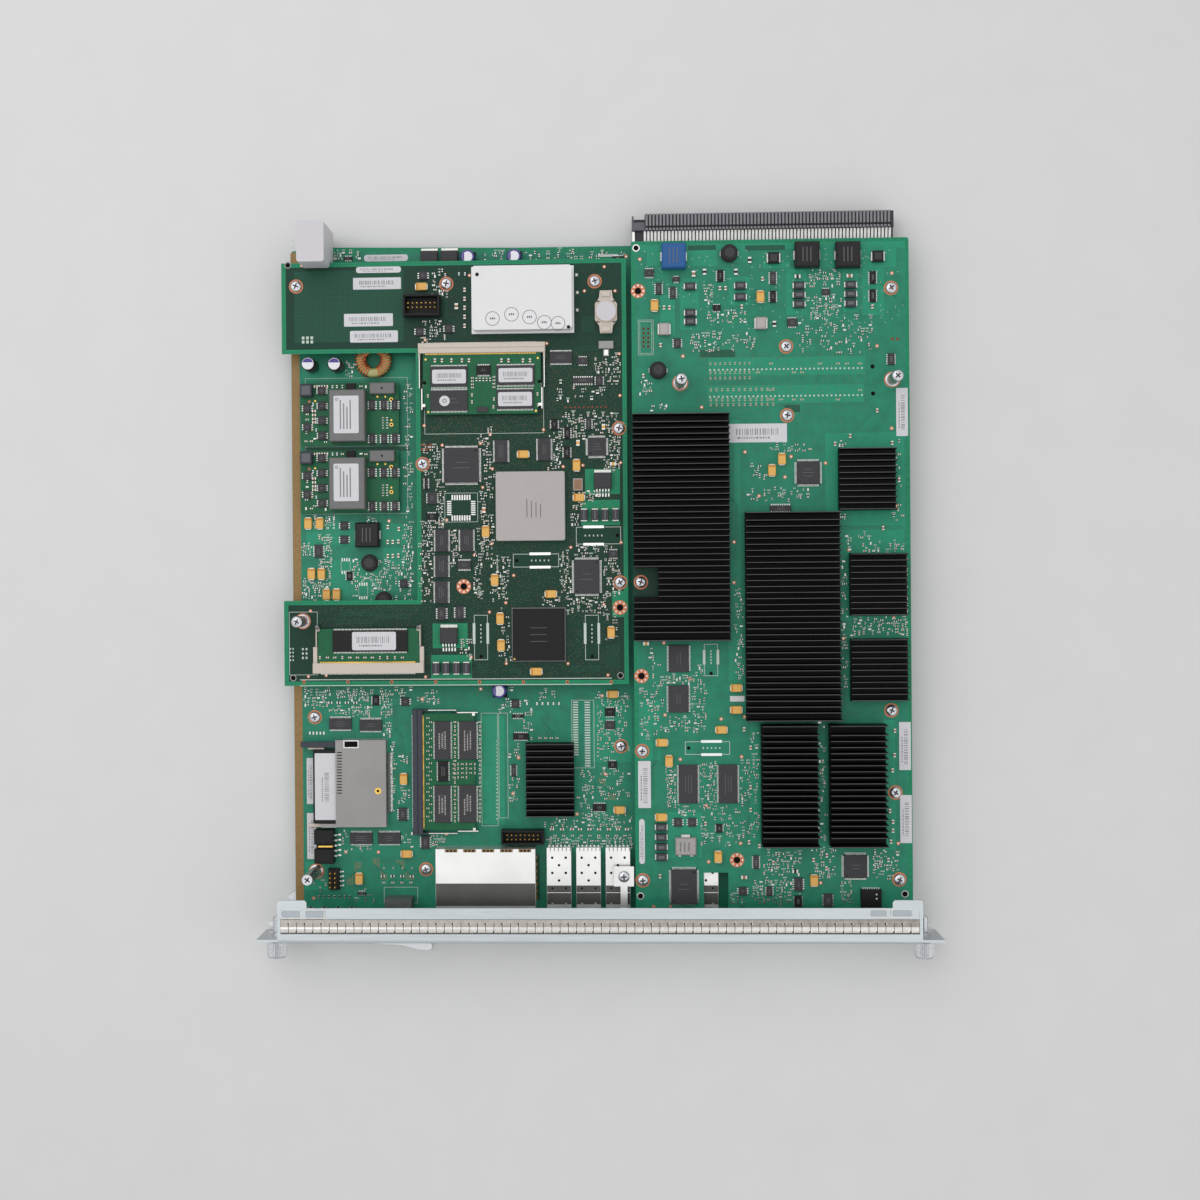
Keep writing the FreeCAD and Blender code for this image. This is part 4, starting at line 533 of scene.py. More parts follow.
def dress_chip(b, box):
    """The package is told by its place or by its size."""
    x0, x1, y0, y1, z0, z1 = box
    w, l, h = x1 - x0, y1 - y0, z1 - z0
    x, y = middle(box)
    if any(near(box, spot) for spot in WIDE_PACKAGES):
        dual_package(b, (x - 6.7, x + 6.7, y - 7.9, y + 7.9, z0, z1))
    elif near(box, METAL_CAN):
        metal_can(b, box)
    elif near(box, SEALED_BLOCK):
        sealed_block(b, box)
    elif w > 38:
        lidded_array(b, box)
    elif w > 30:
        ball_array(b, box)
    elif w > 25:
        b.box(*box, "chip_dark", 0.3)
    elif h > 4 and w > 10:
        regulator(b, box)
    elif w > 6 and h > 5:
        b.box(*box, "black", 0.3)
    elif w > 16 or w > 12 and abs(w - l) < 1.2:
        quad_package(b, box)
    elif w > l:
        dual_package(b, box, COARSE_PITCH if l < 5.5 else FINE_PITCH, sides="x" if w < 7 else "y")
    else:
        dual_package(b, box, FINE_PITCH if l > 9 else COARSE_PITCH)


def dress(node, name, slot, draw, smooth=None):
    """Replaces a node by a piece in which each of its solids is drawn anew."""
    b = Build()
    for box in islands(node):
        draw(b, box)
    b.done(name, slot, replaces=[node], smooth=smooth)


for node in ("routing_chips", "forwarding_chips", "base_chips"):
    dress(node, "dressed_" + node, "chip_black", dress_chip)


# Capacitors, coils and other cases

GREY_CASES = (at(664, 330.5, UPPER), at(760, 324, UPPER))
BLUE_COIL = at(674, 258, UPPER)
REAR_ROW = 180  # moulded parts behind this that stand along Y are drawn dark and along X
CAN_SIDES = 28


def tantalum(b, box):
    x0, x1, y0, y1, _, z1 = box
    two_ended(b, box, "tantalum", 0.16, 0.3, x1 - x0 >= y1 - y0)
    if x1 - x0 > y1 - y0:
        b.flat(x0 + 0.9, x0 + 1.8, y0 + 0.3, y1 - 0.3, z1 + INK, "band")
    else:
        b.flat(x0 + 0.3, x1 - 0.3, y1 - 1.8, y1 - 0.9, z1 + INK, "band")


def moulded(b, box):
    x0, x1, y0, y1, z0, z1 = box
    x, y = middle(box)
    case, stamp = "moulded", "mark"
    if any(math.hypot(x - gx, y - gy) < 4 for gx, gy in GREY_CASES):
        y0, y1 = y - 3.5, y + 3.5
        case, stamp = "pewter", "lid"
    elif x1 - x0 < y1 - y0 and y0 > REAR_ROW:
        x0, x1, y0, y1 = x - 3.9, x + 3.9, y - 3.1, y + 3.1
        case, stamp = "chip_dark", "chip"
    two_ended(b, (x0, x1, y0, y1, z0, z1), case, 0.2, 0.4, x1 - x0 > y1 - y0)
    b.flat(x0 + 1.9, x1 - 1.9, y0 + 1.2, y1 - 1.2, z1 + INK, stamp)


def round_coil(b, box):
    x, y = middle(box)
    r = (box[1] - box[0]) / 2
    z0, z1 = box[4], box[5]
    b.turned(x, y, [(r, z0), (r, z0 + 0.9), (0.72 * r, z0 + 1.3), (0.72 * r, z1 - 1.5), (0.93 * r, z1 - 1.1),
                    (0.93 * r, z1 - 0.4), (0.82 * r, z1)], 28, "ferrite")
    b.disc(x, y, z1 + INK, 0.55 * r, 20, "chip")
    for side in (-1, 1):
        b.block(x + side * (r - 0.3), y, z0, 1.2, 2.6, 0.5, "solder", 0.1)


def square_coil(b, box, skin):
    x0, x1, y0, y1, z0, z1 = box
    y = (y0 + y1) / 2
    b.box(x0 - 0.1, x1 + 0.1, y0, y1, z0 + 0.4, z1, skin, 0.8)
    for side in (x0 - 0.8, x1 - 0.6):
        b.box(side, side + 1.4, y - 2.6, y + 2.6, z0, z0 + 2.6, "solder", 0.2)
    for i in range(3):
        b.flat(x0 + 4.0 + 2.2 * i, x0 + 4.5 + 2.2 * i, y - 4.2, y + 4.0, z1 + INK, "mark")


def coil(b, box):
    x0, x1, y0, y1, z0, z1 = box
    w, h = x1 - x0, z1 - z0
    if 9 < w < 11:
        round_coil(b, box)
    elif h > 8:
        b.box(*box, "ferrite_grey", 0.5)
        rounded_slab(b, x0 + 2.6, x1 - 3.4, y0 + 4.6, y1 - 3.6, z1, z1 + LABEL, 0.8, "label")
        b.ring(x0 + 4.4, y1 - 5.6, z1 + LABEL_INK, 0.5, 0.9, 16, "ink")
        for i in range(4):
            b.flat(x0 + 6.2 + 1.9 * i, x0 + 6.9 + 1.9 * i, y0 + 7, y1 - 6 - 2 * (i % 3), z1 + LABEL_INK, "ink")
    elif h > 5.5:
        square_coil(b, box, "blue" if near(box, BLUE_COIL, 9) else "ferrite")
    elif w > 12:
        b.box(*box, "ferrite_grey", 0.4)
        dimple(b, *middle(box), z1, 0.7)
    else:
        b.box(*box, "slate", 0.4)
        b.box(x0 + 1.0, x1 - 1.0, y0 + 1.0, y1 - 1.0, z1, z1 + 0.05, "grey")


def can(b, box):
    x, y = middle(box)
    r = (box[1] - box[0]) / 2 / math.cos(math.pi / 12)
    z0, z1 = box[4], box[5]
    if z1 - z0 > 12:
        b.turned(x, y, [(0.96 * r, z0), (r, z0 + 0.6), (r, z1 - 1.6), (0.93 * r, z1 - 1.1), (r, z1 - 0.6),
                        (0.86 * r, z1)], CAN_SIDES, "sleeve", "can")
        b.face([p for p in circle(x, y, z1 + 0.03, 0.8 * r, CAN_SIDES) if p[1] > y + 0.15 * r], "violet")
    else:
        b.block(x, y, z0, 2 * r, 2 * r, 1.0, "black", 0.3)
        b.turned(x, y, [(0.95 * r, z0 + 1.0), (r, z0 + 1.4), (r, z1 - 0.8), (0.9 * r, z1)], CAN_SIDES, "violet")
        b.disc(x, y, z1 + 0.03, 0.7 * r, CAN_SIDES, "can")
        b.face([p for p in circle(x, y, z1 + 0.05, 0.68 * r, CAN_SIDES) if p[0] < x - 0.3 * r], "violet")


SMOOTH = 35  # edges sharper than this many degrees stay sharp
dress("tantalum_capacitors", "dressed_tantalums", "tantalum_yellow", tantalum)
dress("moulded_capacitors", "dressed_moulded_parts", "moulded_grey", moulded)
dress("coils", "dressed_coils", "coil_dark", coil, SMOOTH)
dress("electrolytic_capacitors", "dressed_can_capacitors", "sleeve_dark", can, SMOOTH)


# Choke: a coated ring with close turns of enamelled wire

def tube(b, path, centre, radius, sides, skin):
    """Closed tube through points round a centre, with its section square to the path."""
    rings = []
    for i, p in enumerate(path):
        ahead = Vector(path[(i + 1) % len(path)]) - Vector(path[i - 1])
        ahead.normalize()
        side = ahead.cross(Vector((0, 0, 1)))
        if side.length < 0.2:
            side = ahead.cross(Vector((p[0] - centre[0], p[1] - centre[1], 0)).normalized())
        side.normalize()
        up = side.cross(ahead)
        rings.append([tuple(Vector(p) + radius * (math.cos(a) * side + math.sin(a) * up))
                      for a in (2 * math.pi * k / sides for k in range(sides))])
    b.loft(rings + rings[:1], skin)


def choke(turns=28, thick=0.4, soft=1.0):
    box = node_box("choke_core")
    centre = middle(box)
    outer = (box[1] - box[0]) / 2
    inner = outer - 5.0
    bottom, top = box[4], box[5]
    b = Build()
    profile = [(inner + soft, bottom), (outer - soft, bottom), (outer, bottom + soft), (outer, top - soft),
               (outer - soft, top), (inner + soft, top), (inner, top - soft), (inner, bottom + soft)]
    rings = [circle(*centre, z, r, 48) for r, z in profile]
    b.loft(rings + rings[:1], "core")
    loop = [(inner - thick - 0.1, bottom + 0.6), (inner + 0.8, bottom - thick - 0.1),
            (outer - 0.8, bottom - thick - 0.1), (outer + thick + 0.1, bottom + 0.6),
            (outer + thick + 0.1, top - 0.6), (outer - 0.8, top + thick + 0.1),
            (inner + 0.8, top + thick + 0.1), (inner - thick - 0.1, top - 0.6)]
    for i in range(turns):
        angle = math.radians(25 + i * 310 / (turns - 1)) + math.pi / 2 + math.radians(180)
        ca, sa = math.cos(angle), math.sin(angle)
        tube(b, [(centre[0] + r * ca, centre[1] + r * sa, z) for r, z in loop], centre, thick, 6, "wire")
    b.done("wound_choke", "copper_wire", replaces=["choke_core", "choke_winding"], smooth=50)


choke()


# Heat sinks: tapered fins on the plates of the frame's sinks

def dress_sink(b, box, cut=None):
    """Plate and fins; cut is (x, y0, y1): fins between y0 and y1 start at x."""
    x0, x1, y0, y1, z0, z1 = box
    pitch, root, tip, plate = 3.4, 1.3, 0.46, z0 + 2.4
    count = int((y1 - y0 - root) / pitch) + 1
    start = (y0 + y1) / 2 - (count - 1) * pitch / 2
    if cut:
        b.box(cut[0], x1, y0, y1, z0, plate, "fin")
        b.box(x0, cut[0], y0, cut[1], z0, plate, "fin")
        b.box(x0, cut[0], cut[2], y1, z0, plate, "fin")
    else:
        b.box(x0, x1, y0, y1, z0, plate, "fin")
    for i in range(count):
        y = start + i * pitch
        if i == 0:
            y = y0 + root / 2
        if i == count - 1:
            y = y1 - root / 2
        left = cut[0] if cut and cut[1] - 0.3 < y < cut[2] + 0.3 else x0
        b.loft([rect(left, x1, y - half, y + half, z) for half, z in ((root / 2, plate), (tip / 2, z1))], "fin")
        # painted highlight along the top of each fin
        b.flat(left, x1, y - tip / 2, y + tip / 2, z1, "fin_top")


LEFT_SINK = node_box("left_heat_sink")
SINK_CUT = (LEFT_SINK[0] + 13.87, LEFT_SINK[2] + 25.46, LEFT_SINK[2] + 41.96)
for side, cut in (("left", SINK_CUT), ("middle", None)):
    b = Build()
    dress_sink(b, node_box(side + "_heat_sink"), cut)
    b.done("finned_" + side + "_sink", "sink_black", replaces=[side + "_heat_sink"])
dress("small_heat_sinks", "finned_small_sinks", "sink_black", dress_sink)


# Screw heads with a cross recess, and round standoffs

def screw_head(b, x, y, z, radius, height, turn):
    sides, flat_r = 24, 0.5 * radius
    rings = [circle(x, y, h, r, sides, turn) for r, h in (
        (radius, z), (radius, z + 0.35 * height), (0.93 * radius, z + 0.62 * height),
        (0.76 * radius, z + 0.87 * height), (flat_r, z + height))]
    b.loft(rings, "screw")
    rim = rings[-1]
    inner = flat_r * math.sin(math.radians(15))
    outline = []
    for quarter in range(4):
        a, k = turn + math.radians(45 + 90 * quarter), 6 * quarter
        corner = (x + inner * math.sqrt(2) * math.cos(a), y + inner * math.sqrt(2) * math.sin(a), z + height)
        b.face([corner] + [rim[(k + i) % sides] for i in range(1, 6)], "screw")
        outline += [rim[(k - 1) % sides], rim[k], rim[(k + 1) % sides], corner]
    low = [(px, py, z + 0.3 * height) for px, py, _ in outline]
    # painted shade in the cross recess: darker walls and a darker grey floor
    b.loft([outline, low], "plate")
    b.face(low, "grey")


b = Build()
screw_pads = Build()
for box in islands("board_screws"):
    x, y = middle(box)
    z0, z1 = box[4], box[5]
    screw_head(b, x, y, z0, 3.3, z1 - z0, rng.uniform(0, 1.5))
    if z0 < UPPER + 1:
        screw_pads.ring(x, y, z0 + 0.05, 3.2, 4.1, 28, "copper")
b.done("cross_screws", "screw_metal", replaces=["board_screws"], smooth=SMOOTH)

b = Build()
for box in islands("cover_standoffs"):
    x, y = middle(box)
    z0, z1 = box[4], box[5]
    b.turned(x, y, [(3.9, z0), (3.9, z0 + 0.8), (3.2, z0 + 1.2), (3.2, z1 - 0.4), (2.9, z1)], 32, "screw")
    turn = rng.uniform(0, 1.5)
    for k in range(2):
        a = turn + k * math.pi / 2
        dx, dy = 1.7 * math.cos(a), 1.7 * math.sin(a)
        b.line([(x - dx, y - dy), (x + dx, y + dy)], z1 + 0.03 + 0.01 * k, 0.75, "hole")
    screw_pads.ring(x, y, z0 + 0.05, 3.9, 4.6, 28, "copper")
b.done("round_standoffs", "standoff_metal", replaces=["cover_standoffs"], smooth=SMOOTH)
screw_pads.done("screw_pads", "copper_wire")


# Front: spring fingers, knurled thumbscrews

FINGER_PITCH = 4.63


def finger_strip():
    """Spring fingers parted by narrow slits, each ending in a round hole at the front or rear by turns."""
    x0, x1, y0, y1, z0, z1 = node_box("emi_gasket")
    slit, count = 0.32, round((x1 - x0) / FINGER_PITCH)
    pitch = (x1 - x0) / count
    width, rise = y1 - y0, z1 - z0
    arch = [(0, 0.12), (0.11, 0.66), (0.24, 0.95), (0.36, 1.0), (0.49, 0.93), (0.62, 0.8), (0.78, 0.62),
            (0.91, 0.42), (1.0, 0.12)]
    b = Build()
    for i in range(count):
        a = x0 + i * pitch
        for (u, h), (v, k) in zip(arch, arch[1:]):
            right = a + pitch - (slit if 0.05 < u < 0.7 else 0)
            # the rear slopes take painted shade, darker than the crests
            skin = "spring" if 0.1 < u < 0.45 else "spring_slope"
            b.face([(a, y0 + u * width, z0 + h * rise), (right, y0 + u * width, z0 + h * rise),
                    (right, y0 + v * width, z0 + k * rise), (a, y0 + v * width, z0 + k * rise)], skin)
        b.flat(a + pitch - slit, a + pitch, y0 + 0.11 * width, y0 + 0.78 * width, z0 + 0.1, "hole")
        if i < count - 1:
            share, level = ((0.70, 0.72), (0.15, 0.80))[i % 2]
            x, y = a + pitch - 0.5 * slit, y0 + share * width
            # painted highlight: a bright disc set off to one side under the hole's dark disc leaves a lit
            # crescent on its rim
            b.disc(x + 0.3, y, z0 + level * rise + 0.06, 0.6, 12, "pin")
            b.disc(x - 0.1, y, z0 + level * rise + 0.1, 0.52, 12, "dimple")
    b.done("finger_strip", "gasket_metal", replaces=["emi_gasket"])


def thumbscrew(side):
    node = side + "_captive_screw"
    x0, x1, y0, y1, z0, z1 = node_box(node)
    x, z = (x0 + x1) / 2, (z0 + z1) / 2
    b = Build()
    b.pose = lambda p: (x + p[0], p[2], z - p[1])
    core = (z1 - z0) / 2 * 0.985
    knob_back = y0 + 9.4
    ridge_sides, shank_sides, thread = 96, 24, 2.1

    def ridged(r, level, depth):
        points = []
        for k in range(ridge_sides):
            a = 2 * math.pi * k / ridge_sides
            reach = r - (depth if k % 3 == 0 else 0)
            points.append((reach * math.cos(a), reach * math.sin(a), level))
        return points[::-1]

    knob = [ridged(0.35 * core, knob_back, 0), ridged(core, knob_back, 0.35), ridged(core, y0 + 1.4, 0.35),
            ridged(0.82 * core, y0 + 0.25, 0), ridged(0.45 * core, y0, 0), ridged(0.4 * core, y0 + 0.5, 0)]
    b.loft(knob, "screw")
    b.face(knob[-1], "screw")
    b.turned(0, 0, [(1.6, knob_back), (1.6, y1 - 8.6), (thread, y1 - 8.6), (thread, y1 - 0.8), (1.4, y1)],
             shank_sides, "screw")
    for i in range(9):
        level = y1 - 8.2 + 0.8 * i
        b.loft([circle(0, 0, level + rise, r, shank_sides)
                for rise, r in ((0, thread), (0.15, 1.85), (0.3, thread))], "lever")
    b.done(side + "_thumbscrew", "screw_metal", body=side + "_screw", replaces=[node], smooth=30)


finger_strip()
thumbscrew("left")
thumbscrew("right")


# Rear connector: ribs and bright contact tails

def wall(b, x0, x1, y, z0, z1, skin):
    b.face([(x0, y, z0), (x1, y, z0), (x1, y, z1), (x0, y, z1)], skin)


CONTACT_PITCH = 2.0
x0, x1, y0, y1, z0, z1 = node_box("backplane_connector")
head_front, head_top = y1 - 9.3, z1 - 1.4
foot_top = BASE_TOP + 5.5
ribs = x0 + 7.4
count = int((x1 - ribs) / CONTACT_PITCH)
b = Build()
b.box(x0, x1, y0, head_front, BASE_TOP, foot_top, "connector")
b.box(ribs, x1, head_front, y1 - 0.1, z0, head_top, "connector")
b.box(x0, ribs, head_front, y1 - 4.6, z0, head_top, "grey", 0.2)
b.box(x0, x0 + 1.0, y1 - 4.6, y1 - 1.0, z0, z1 - 1.6, "grey", 0.2)
b.flat(x0, x1, head_front, y1 - 0.1, z0, "connector")
wall(b, ribs, x1, y1 - 0.1, z0, head_top, "connector")
for i in range(count):
    x = ribs + 1.0 + CONTACT_PITCH * i
    b.box(x - 0.6, x + 0.6, head_front + 2.4, y1, head_top, z1, "rib", 0.1)
    b.box(x - 0.66, x + 0.66, head_front, head_front + 1.3, head_top, z1 - 0.5, "rib", 0.1)
    b.box(x + 0.4, x + 1.3, head_front + 1.5, head_front + 2.2, head_top, z1 - 1.0, "black")
    for row in range(5):
        low = z0 + 1.8 + 2.3 * row
        wall(b, x - 0.45, x + 0.45, y1 - 0.02, low, low + 1.2, "hole")
b.done("ribbed_connector", "grey_plastic", replaces=["backplane_connector"])
b = Build()
tail_front, tail_rear, tail_top, half = head_front - 7.0, head_front - 0.1, z1 - 3.2, 0.66
side = ((tail_front, foot_top), (tail_rear, tail_top), (tail_rear, z1 - 3.8), (tail_front, foot_top - 0.6))
for i in range(count + 1):
    x = ribs + 1.0 + CONTACT_PITCH * (i - 0.5)
    left, right = ([(x + dx, y, z) for y, z in side] for dx in (-half, half))
    b.loft([left, right], "pin")
    b.face(left[::-1], "pin")
    b.face(right, "pin")
b.box(x0 + 0.1, x0 + 1.5, tail_front, head_front - 0.2, foot_top, tail_top, "lead")
b.done("contact_tails", "contact_metal", replaces=["backplane_contacts"])


# Battery holder with its round cap

holder = node_box("battery_holder")
x0, x1, y0, y1, z0, z1 = holder
x, y = middle(holder)
rim = z1 - 1.0
outline = [(x0, y - 4.5), (x0 + 2.4, y - 7.8), (x0 + 2.9, y0), (x1 - 2.9, y0), (x1 - 2.4, y - 7.8),
           (x1, y - 4.5), (x1, y + 4.5), (x1 - 2.4, y + 7.8), (x1 - 2.9, y1), (x0 + 2.9, y1),
           (x0 + 2.4, y + 7.8), (x0, y + 4.5)]
b = Build()
b.loft([[(px, py, z) for px, py in outline] for z in (z0, rim)], "ivory")
b.face([(px, py, rim) for px, py in outline], "ivory")
for side in (-1, 1):
    b.block(x, y + side * 9.9, rim, 5.0, 3.0, 1.0, "ivory", 0.3)
    b.block(x, y + side * 11.4, z0, 2.6, 1.2, 2.4, "solder", 0.2)
    for k in (-1, 1):
        b.block(x + 4.6 * k, y + side * 5.9, rim, 1.6, 0.5, 0.5, "hole")
b.done("clip_holder", "ivory_plastic", replaces=["battery_holder"])
top = node_box("coin_cell")[5]
b = Build()
b.turned(x, y, [(6.1, rim), (6.1, top - 0.5), (5.6, top)], 40, "ivory", "white")
b.done("round_cap", "white_plastic", replaces=["coin_cell"], smooth=SMOOTH)


# Connectors on the boards

def box_header(b, box, columns):
    x0, x1, y0, y1, z0, z1 = box
    x, y = middle(box)
    pitch, edge, floor = 2.54, 1.2, z0 + 2.4
    b.box(x0, x1, y0, y1, z0, floor, "black")
    for area in ((x0, x1, y0, y0 + edge), (x0, x1, y1 - edge, y1), (x0, x0 + edge, y0 + edge, y1 - edge),
                 (x1 - edge, x1, y0 + edge, y1 - edge)):
        b.box(*area, floor, z1, "black", 0.15)
    b.block(x, y0 + edge / 2, z1 - 2.0, 3.6, edge, 2.02, "chip_dark")
    for i in range(columns):
        for row in (-0.5, 0.5):
            px = x + (i - (columns - 1) / 2) * pitch
            b.block(px, y + row * pitch, z0 + 2.0, 0.64, 0.64, z1 - z0 - 3.0, "gold", 0.15)


def plain_connector(b, box):
    x0, x1, y0, y1, z0, z1 = box
    b.box(x0, x1, y0, y1, z0, z1 - 1.5, "black", 0.2)
    b.box(x0 + 1.5, x1 - 1.5, y0 + 1.2, y1 - 1.2, z1 - 1.5, z1, "chip_dark", 0.2)
    for i in range(int((x1 - x0 - 4) / 1.6)):
        x = x0 + 2.6 + 1.6 * i
        for low, high in ((y0 - 0.7, y0), (y1, y1 + 0.7)):
            b.box(x - 0.3, x + 0.3, low, high, z0, z0 + 0.5, "lead")


def double_connector(b, box):
    x0, x1, y0, y1, z0, z1 = box
    y = (y0 + y1) / 2
    right, span = x1 - 3.4, (y1 - y0 - 2.6) / 2
    for low in (y0, y1 - span):
        b.box(x0, right, low, low + span, z0, z1, "black", 0.4)
        b.box(x0 + 1.6, x1 - 5.2, low + 1.6, low + span - 1.6, z1 - 0.02, z1 + 0.02, "chip_dark")
    b.box(x0 + 1.0, right, y0 + span, y1 - span, z0, z1 - 2.2, "chip_dark", 0.2)
    b.box(x0 + 2.2, x1 - 4.2, y - 0.5, y + 0.5, z1 - 2.2, z1 - 1.7, "gold")
    for i in range(5):
        b.gull(right, y0 + 4.0 + i * 3.0, 1, 0, z0 + 0.1, z0 + 3.0, 3.4, 1.0)


def pin_rows(b, box):
    x0, x1, y0, y1, z0, z1 = box
    right, floor = x1 - 2.2, z0 + 2.6
    b.box(x0, right, y0, y1, z0, floor, "black", 0.2)
    for i in range(4):
        y = (y0 + y1) / 2 + (i - 1.5) * 2.7
        for x in (x0 + 1.8, x0 + 4.6):
            b.block(x, y, floor, 0.7, 0.7, z1 - z0 - 2.6, "gold", 0.2)
        b.gull(right, y, 1, 0, z0 + 0.1, z0 + 1.2, 2.2, 0.8)


def connector(b, box):
    """The kind is told by the size; the single pins are drawn with their header."""
    w, l = box[1] - box[0], box[3] - box[2]
    if w < 2:
        return
    if w > 40:
        plain_connector(b, box)
    elif box[4] > UPPER_PARTS:
        box_header(b, box, 7)
    elif w > 20:
        box_header(b, box, 8)
    elif l > 16:
        double_connector(b, box)
    else:
        pin_rows(b, box)


dress("board_connectors", "dressed_connectors", "black_plastic", connector)


# Labels

def bars(b, x0, x1, y0, y1, z, turned=False):
    """Meaningless bars on a label, with a thin line of dashes beside them."""
    across, deep = (y1 - y0, x1 - x0) if turned else (x1 - x0, y1 - y0)
    units = 34

    def stroke(start, end, low, high):
        if turned:
            b.flat(x0 + low * deep, x0 + high * deep, y0 + start, y0 + end, z, "ink")
        else:
            b.flat(x0 + start, x0 + end, y0 + low * deep, y0 + high * deep, z, "ink")

    along = rng.uniform(0.1, 0.16) * across
    while along < 0.84 * across:
        step = rng.choice((0.3, 0.4, 0.6)) * across / units
        stroke(along, along + step, 0.40, 0.74)
        along += step + rng.choice((0.5, 0.7, 1.1)) * across / units
    along = 0.16 * across
    while along < 0.7 * across:
        step = rng.choice((0.6, 1.0, 1.6)) * across / units
        stroke(along, along + step, 0.2, 0.29)
        along += step + 0.7 * across / units


def label(b, x0, x1, y0, y1, z, turned=False, radius=0.4, printed=True):
    rounded_slab(b, x0, x1, y0, y1, z, z + LABEL, radius, "label")
    if printed:
        bars(b, x0, x1, y0, y1, z + LABEL_INK, turned)


# Memory modules

SMALL_PART, FLAT_PART, CHIP_PART = (1.4, 0.8, 0.5), (1.6, 0.9, 0.5), (1.5, 0.8, 0.5)


def module_board(b, node):
    """The bare board; returns its area, its upper face and the top of its chips."""
    x0, x1, y0, y1, z0, z1 = node_box(node)
    b.box(x0, x1, y0, y1, z0, z0 + 1.0, "module", 0.05)
    b.flat(x0, x1, y0, y1, z0, "module")
    return x0, x1, y0, y1, z0 + 1.0, z1


def module_chip(b, area, board, sides, skin="chip", pitch=PITCH, reach=0.8):
    dual_package(b, (*area, board, board + 1.2), pitch, skin, sides, reach)


def passive_at(b, px, py, z, size, along_x, skin):
    passive(b, *at(px, py, z), z, size, along_x, skin)


b = Build()
x0, x1, y0, y1, board, top = module_board(b, "memory_module_1")
front = at(480, 414.0, board)[1]
b.box(x0 + 1.7, x1 - 1.7, front, y0, board - 1.0, board, "module", 0.05)
spots = ((430, 468, 365, 388), (496, 535, 364, 386), (430, 468, 389, 412), (496, 534, 388, 410))
for i, spot in enumerate(spots):
    area = area_at(*spot, top)
    module_chip(b, area, board, "y")
    x, y = middle(area)
    if i == 2:
        b.disc(x - 2.6, y - 0.2, top + LABEL, 3.0, 32, "label")
        b.ring(x - 2.6, y - 0.2, top + LABEL_INK, 0.7, 1.2, 20, "ink")
    else:
        label(b, x - 9.7, x + 9.7, y - 4.0, y + 4.0, top, radius=1.0)
module_chip(b, area_at(476, 491, 364, 376, top), board, "y", "chip_dark", 1.0)
b.box(*area_at(477, 488, 407, 412, top), board, board + 1.0, "chip", 0.1)
for px in (435, 442, 451.5, 462, 469, 501.5, 508.5, 523, 530):
    passive_at(b, px, 360.5, board, (2.0, 1.2, 0.6), False, "ceramic")
for i in range(5):
    passive_at(b, 476.5 + 3.4 * i, 379.5, board, (1.8, 0.9, 0.5), False, "resistor")
for i in range(4):
    passive_at(b, 472.5, 378 + 3.2 * i, board, SMALL_PART, True, "ceramic")
    passive_at(b, 494, 377 + 3.4 * i, board, SMALL_PART, True, "ceramic")
for px, py in ((472, 395), (472, 402), (494, 399), (493.5, 407), (537.5, 394), (538, 405), (428, 396)):
    passive_at(b, px, py, board, FLAT_PART, False, "ceramic")
for i in range(70):
    b.flat(x0 + 2.2 + 0.9 * i, x0 + 2.75 + 0.9 * i, y1 - 3.4, y1 - 0.4, board + INK, "gold")
for side, px in ((1, x0), (-1, x1)):
    b.disc(px + side * 0.9, (front + y1) / 2 - 0.6, board + 0.03, 1.0, 20, "hole")
    b.disc(px + side * 2.9, front + 1.5, board + 0.03, 0.6, 16, "gold")
    b.disc(px + side * 1.6, y1 - 6.0, board + 0.03, 0.6, 16, "gold")
b.done("dressed_module_1", "module_green", replaces=["memory_module_1"])

b = Build()
x0, x1, y0, y1, board, top = module_board(b, "memory_module_2")
module_chip(b, area_at(332, 408, 629, 653, top), board, "y", "chip_dark")
label(b, *area_at(352, 396, 632, 650, top), top, radius=1.0)
for i in range(12):
    passive_at(b, 320 + 7.5 * i, 657.5, board, FLAT_PART, rng.random() < 0.5, "ceramic")
for i in range(62):
    b.flat(x0 + 2.2 + 0.88 * i, x0 + 2.7 + 0.88 * i, y0 + 0.4, y0 + 3.4, board + INK, "gold")
b.done("dressed_module_2", "module_green", replaces=["memory_module_2"])

b = Build()
x0, x1, y0, y1, board, top = module_board(b, "memory_module_3")
for spot in ((433, 452, 721, 760), (457.5, 478, 721, 760), (433, 452, 785, 823), (457.5, 478, 785, 823)):
    area = area_at(*spot, top)
    module_chip(b, area, board, "x")
    x, y = middle(area)
    for k in range(3):
        start = y - rng.uniform(4.0, 6.5)
        while start < y + rng.uniform(2.5, 6.0):
            step = rng.uniform(0.5, 1.3)
            b.flat(x - 2.2 + 1.7 * k, x - 1.5 + 1.7 * k, start, start + step, top + 0.03, "pewter")
            start += step + 0.4
module_chip(b, area_at(436.5, 449.5, 761, 782, top), board, "x", "chip_dark", 1.0, 0.7)
for i in range(26):
    passive_at(b, 428 + 2.6 * (i % 2), 718 + 4.1 * i, board, CHIP_PART, True, "resistor")
for px in (455, 480):
    for i in range(24):
        passive_at(b, px, 722 + 4.3 * i, board, SMALL_PART, i % 3 == 0, "ceramic")
for i in range(22):
    passive_at(b, 454 + 4.2 * (i % 6), 764 + 4.4 * (i // 6), board, (1.3, 0.7, 0.5), i % 2 == 0, "ceramic")
for i in range(70):
    b.flat(x0 + 0.4, x0 + 3.4, y0 + 2.2 + 0.9 * i, y0 + 2.75 + 0.9 * i, board + INK, "gold")
b.done("dressed_module_3", "module_green", replaces=["memory_module_3"])


# Boards: small parts and printing, placed by pixels of the photograph, clear of what is already there

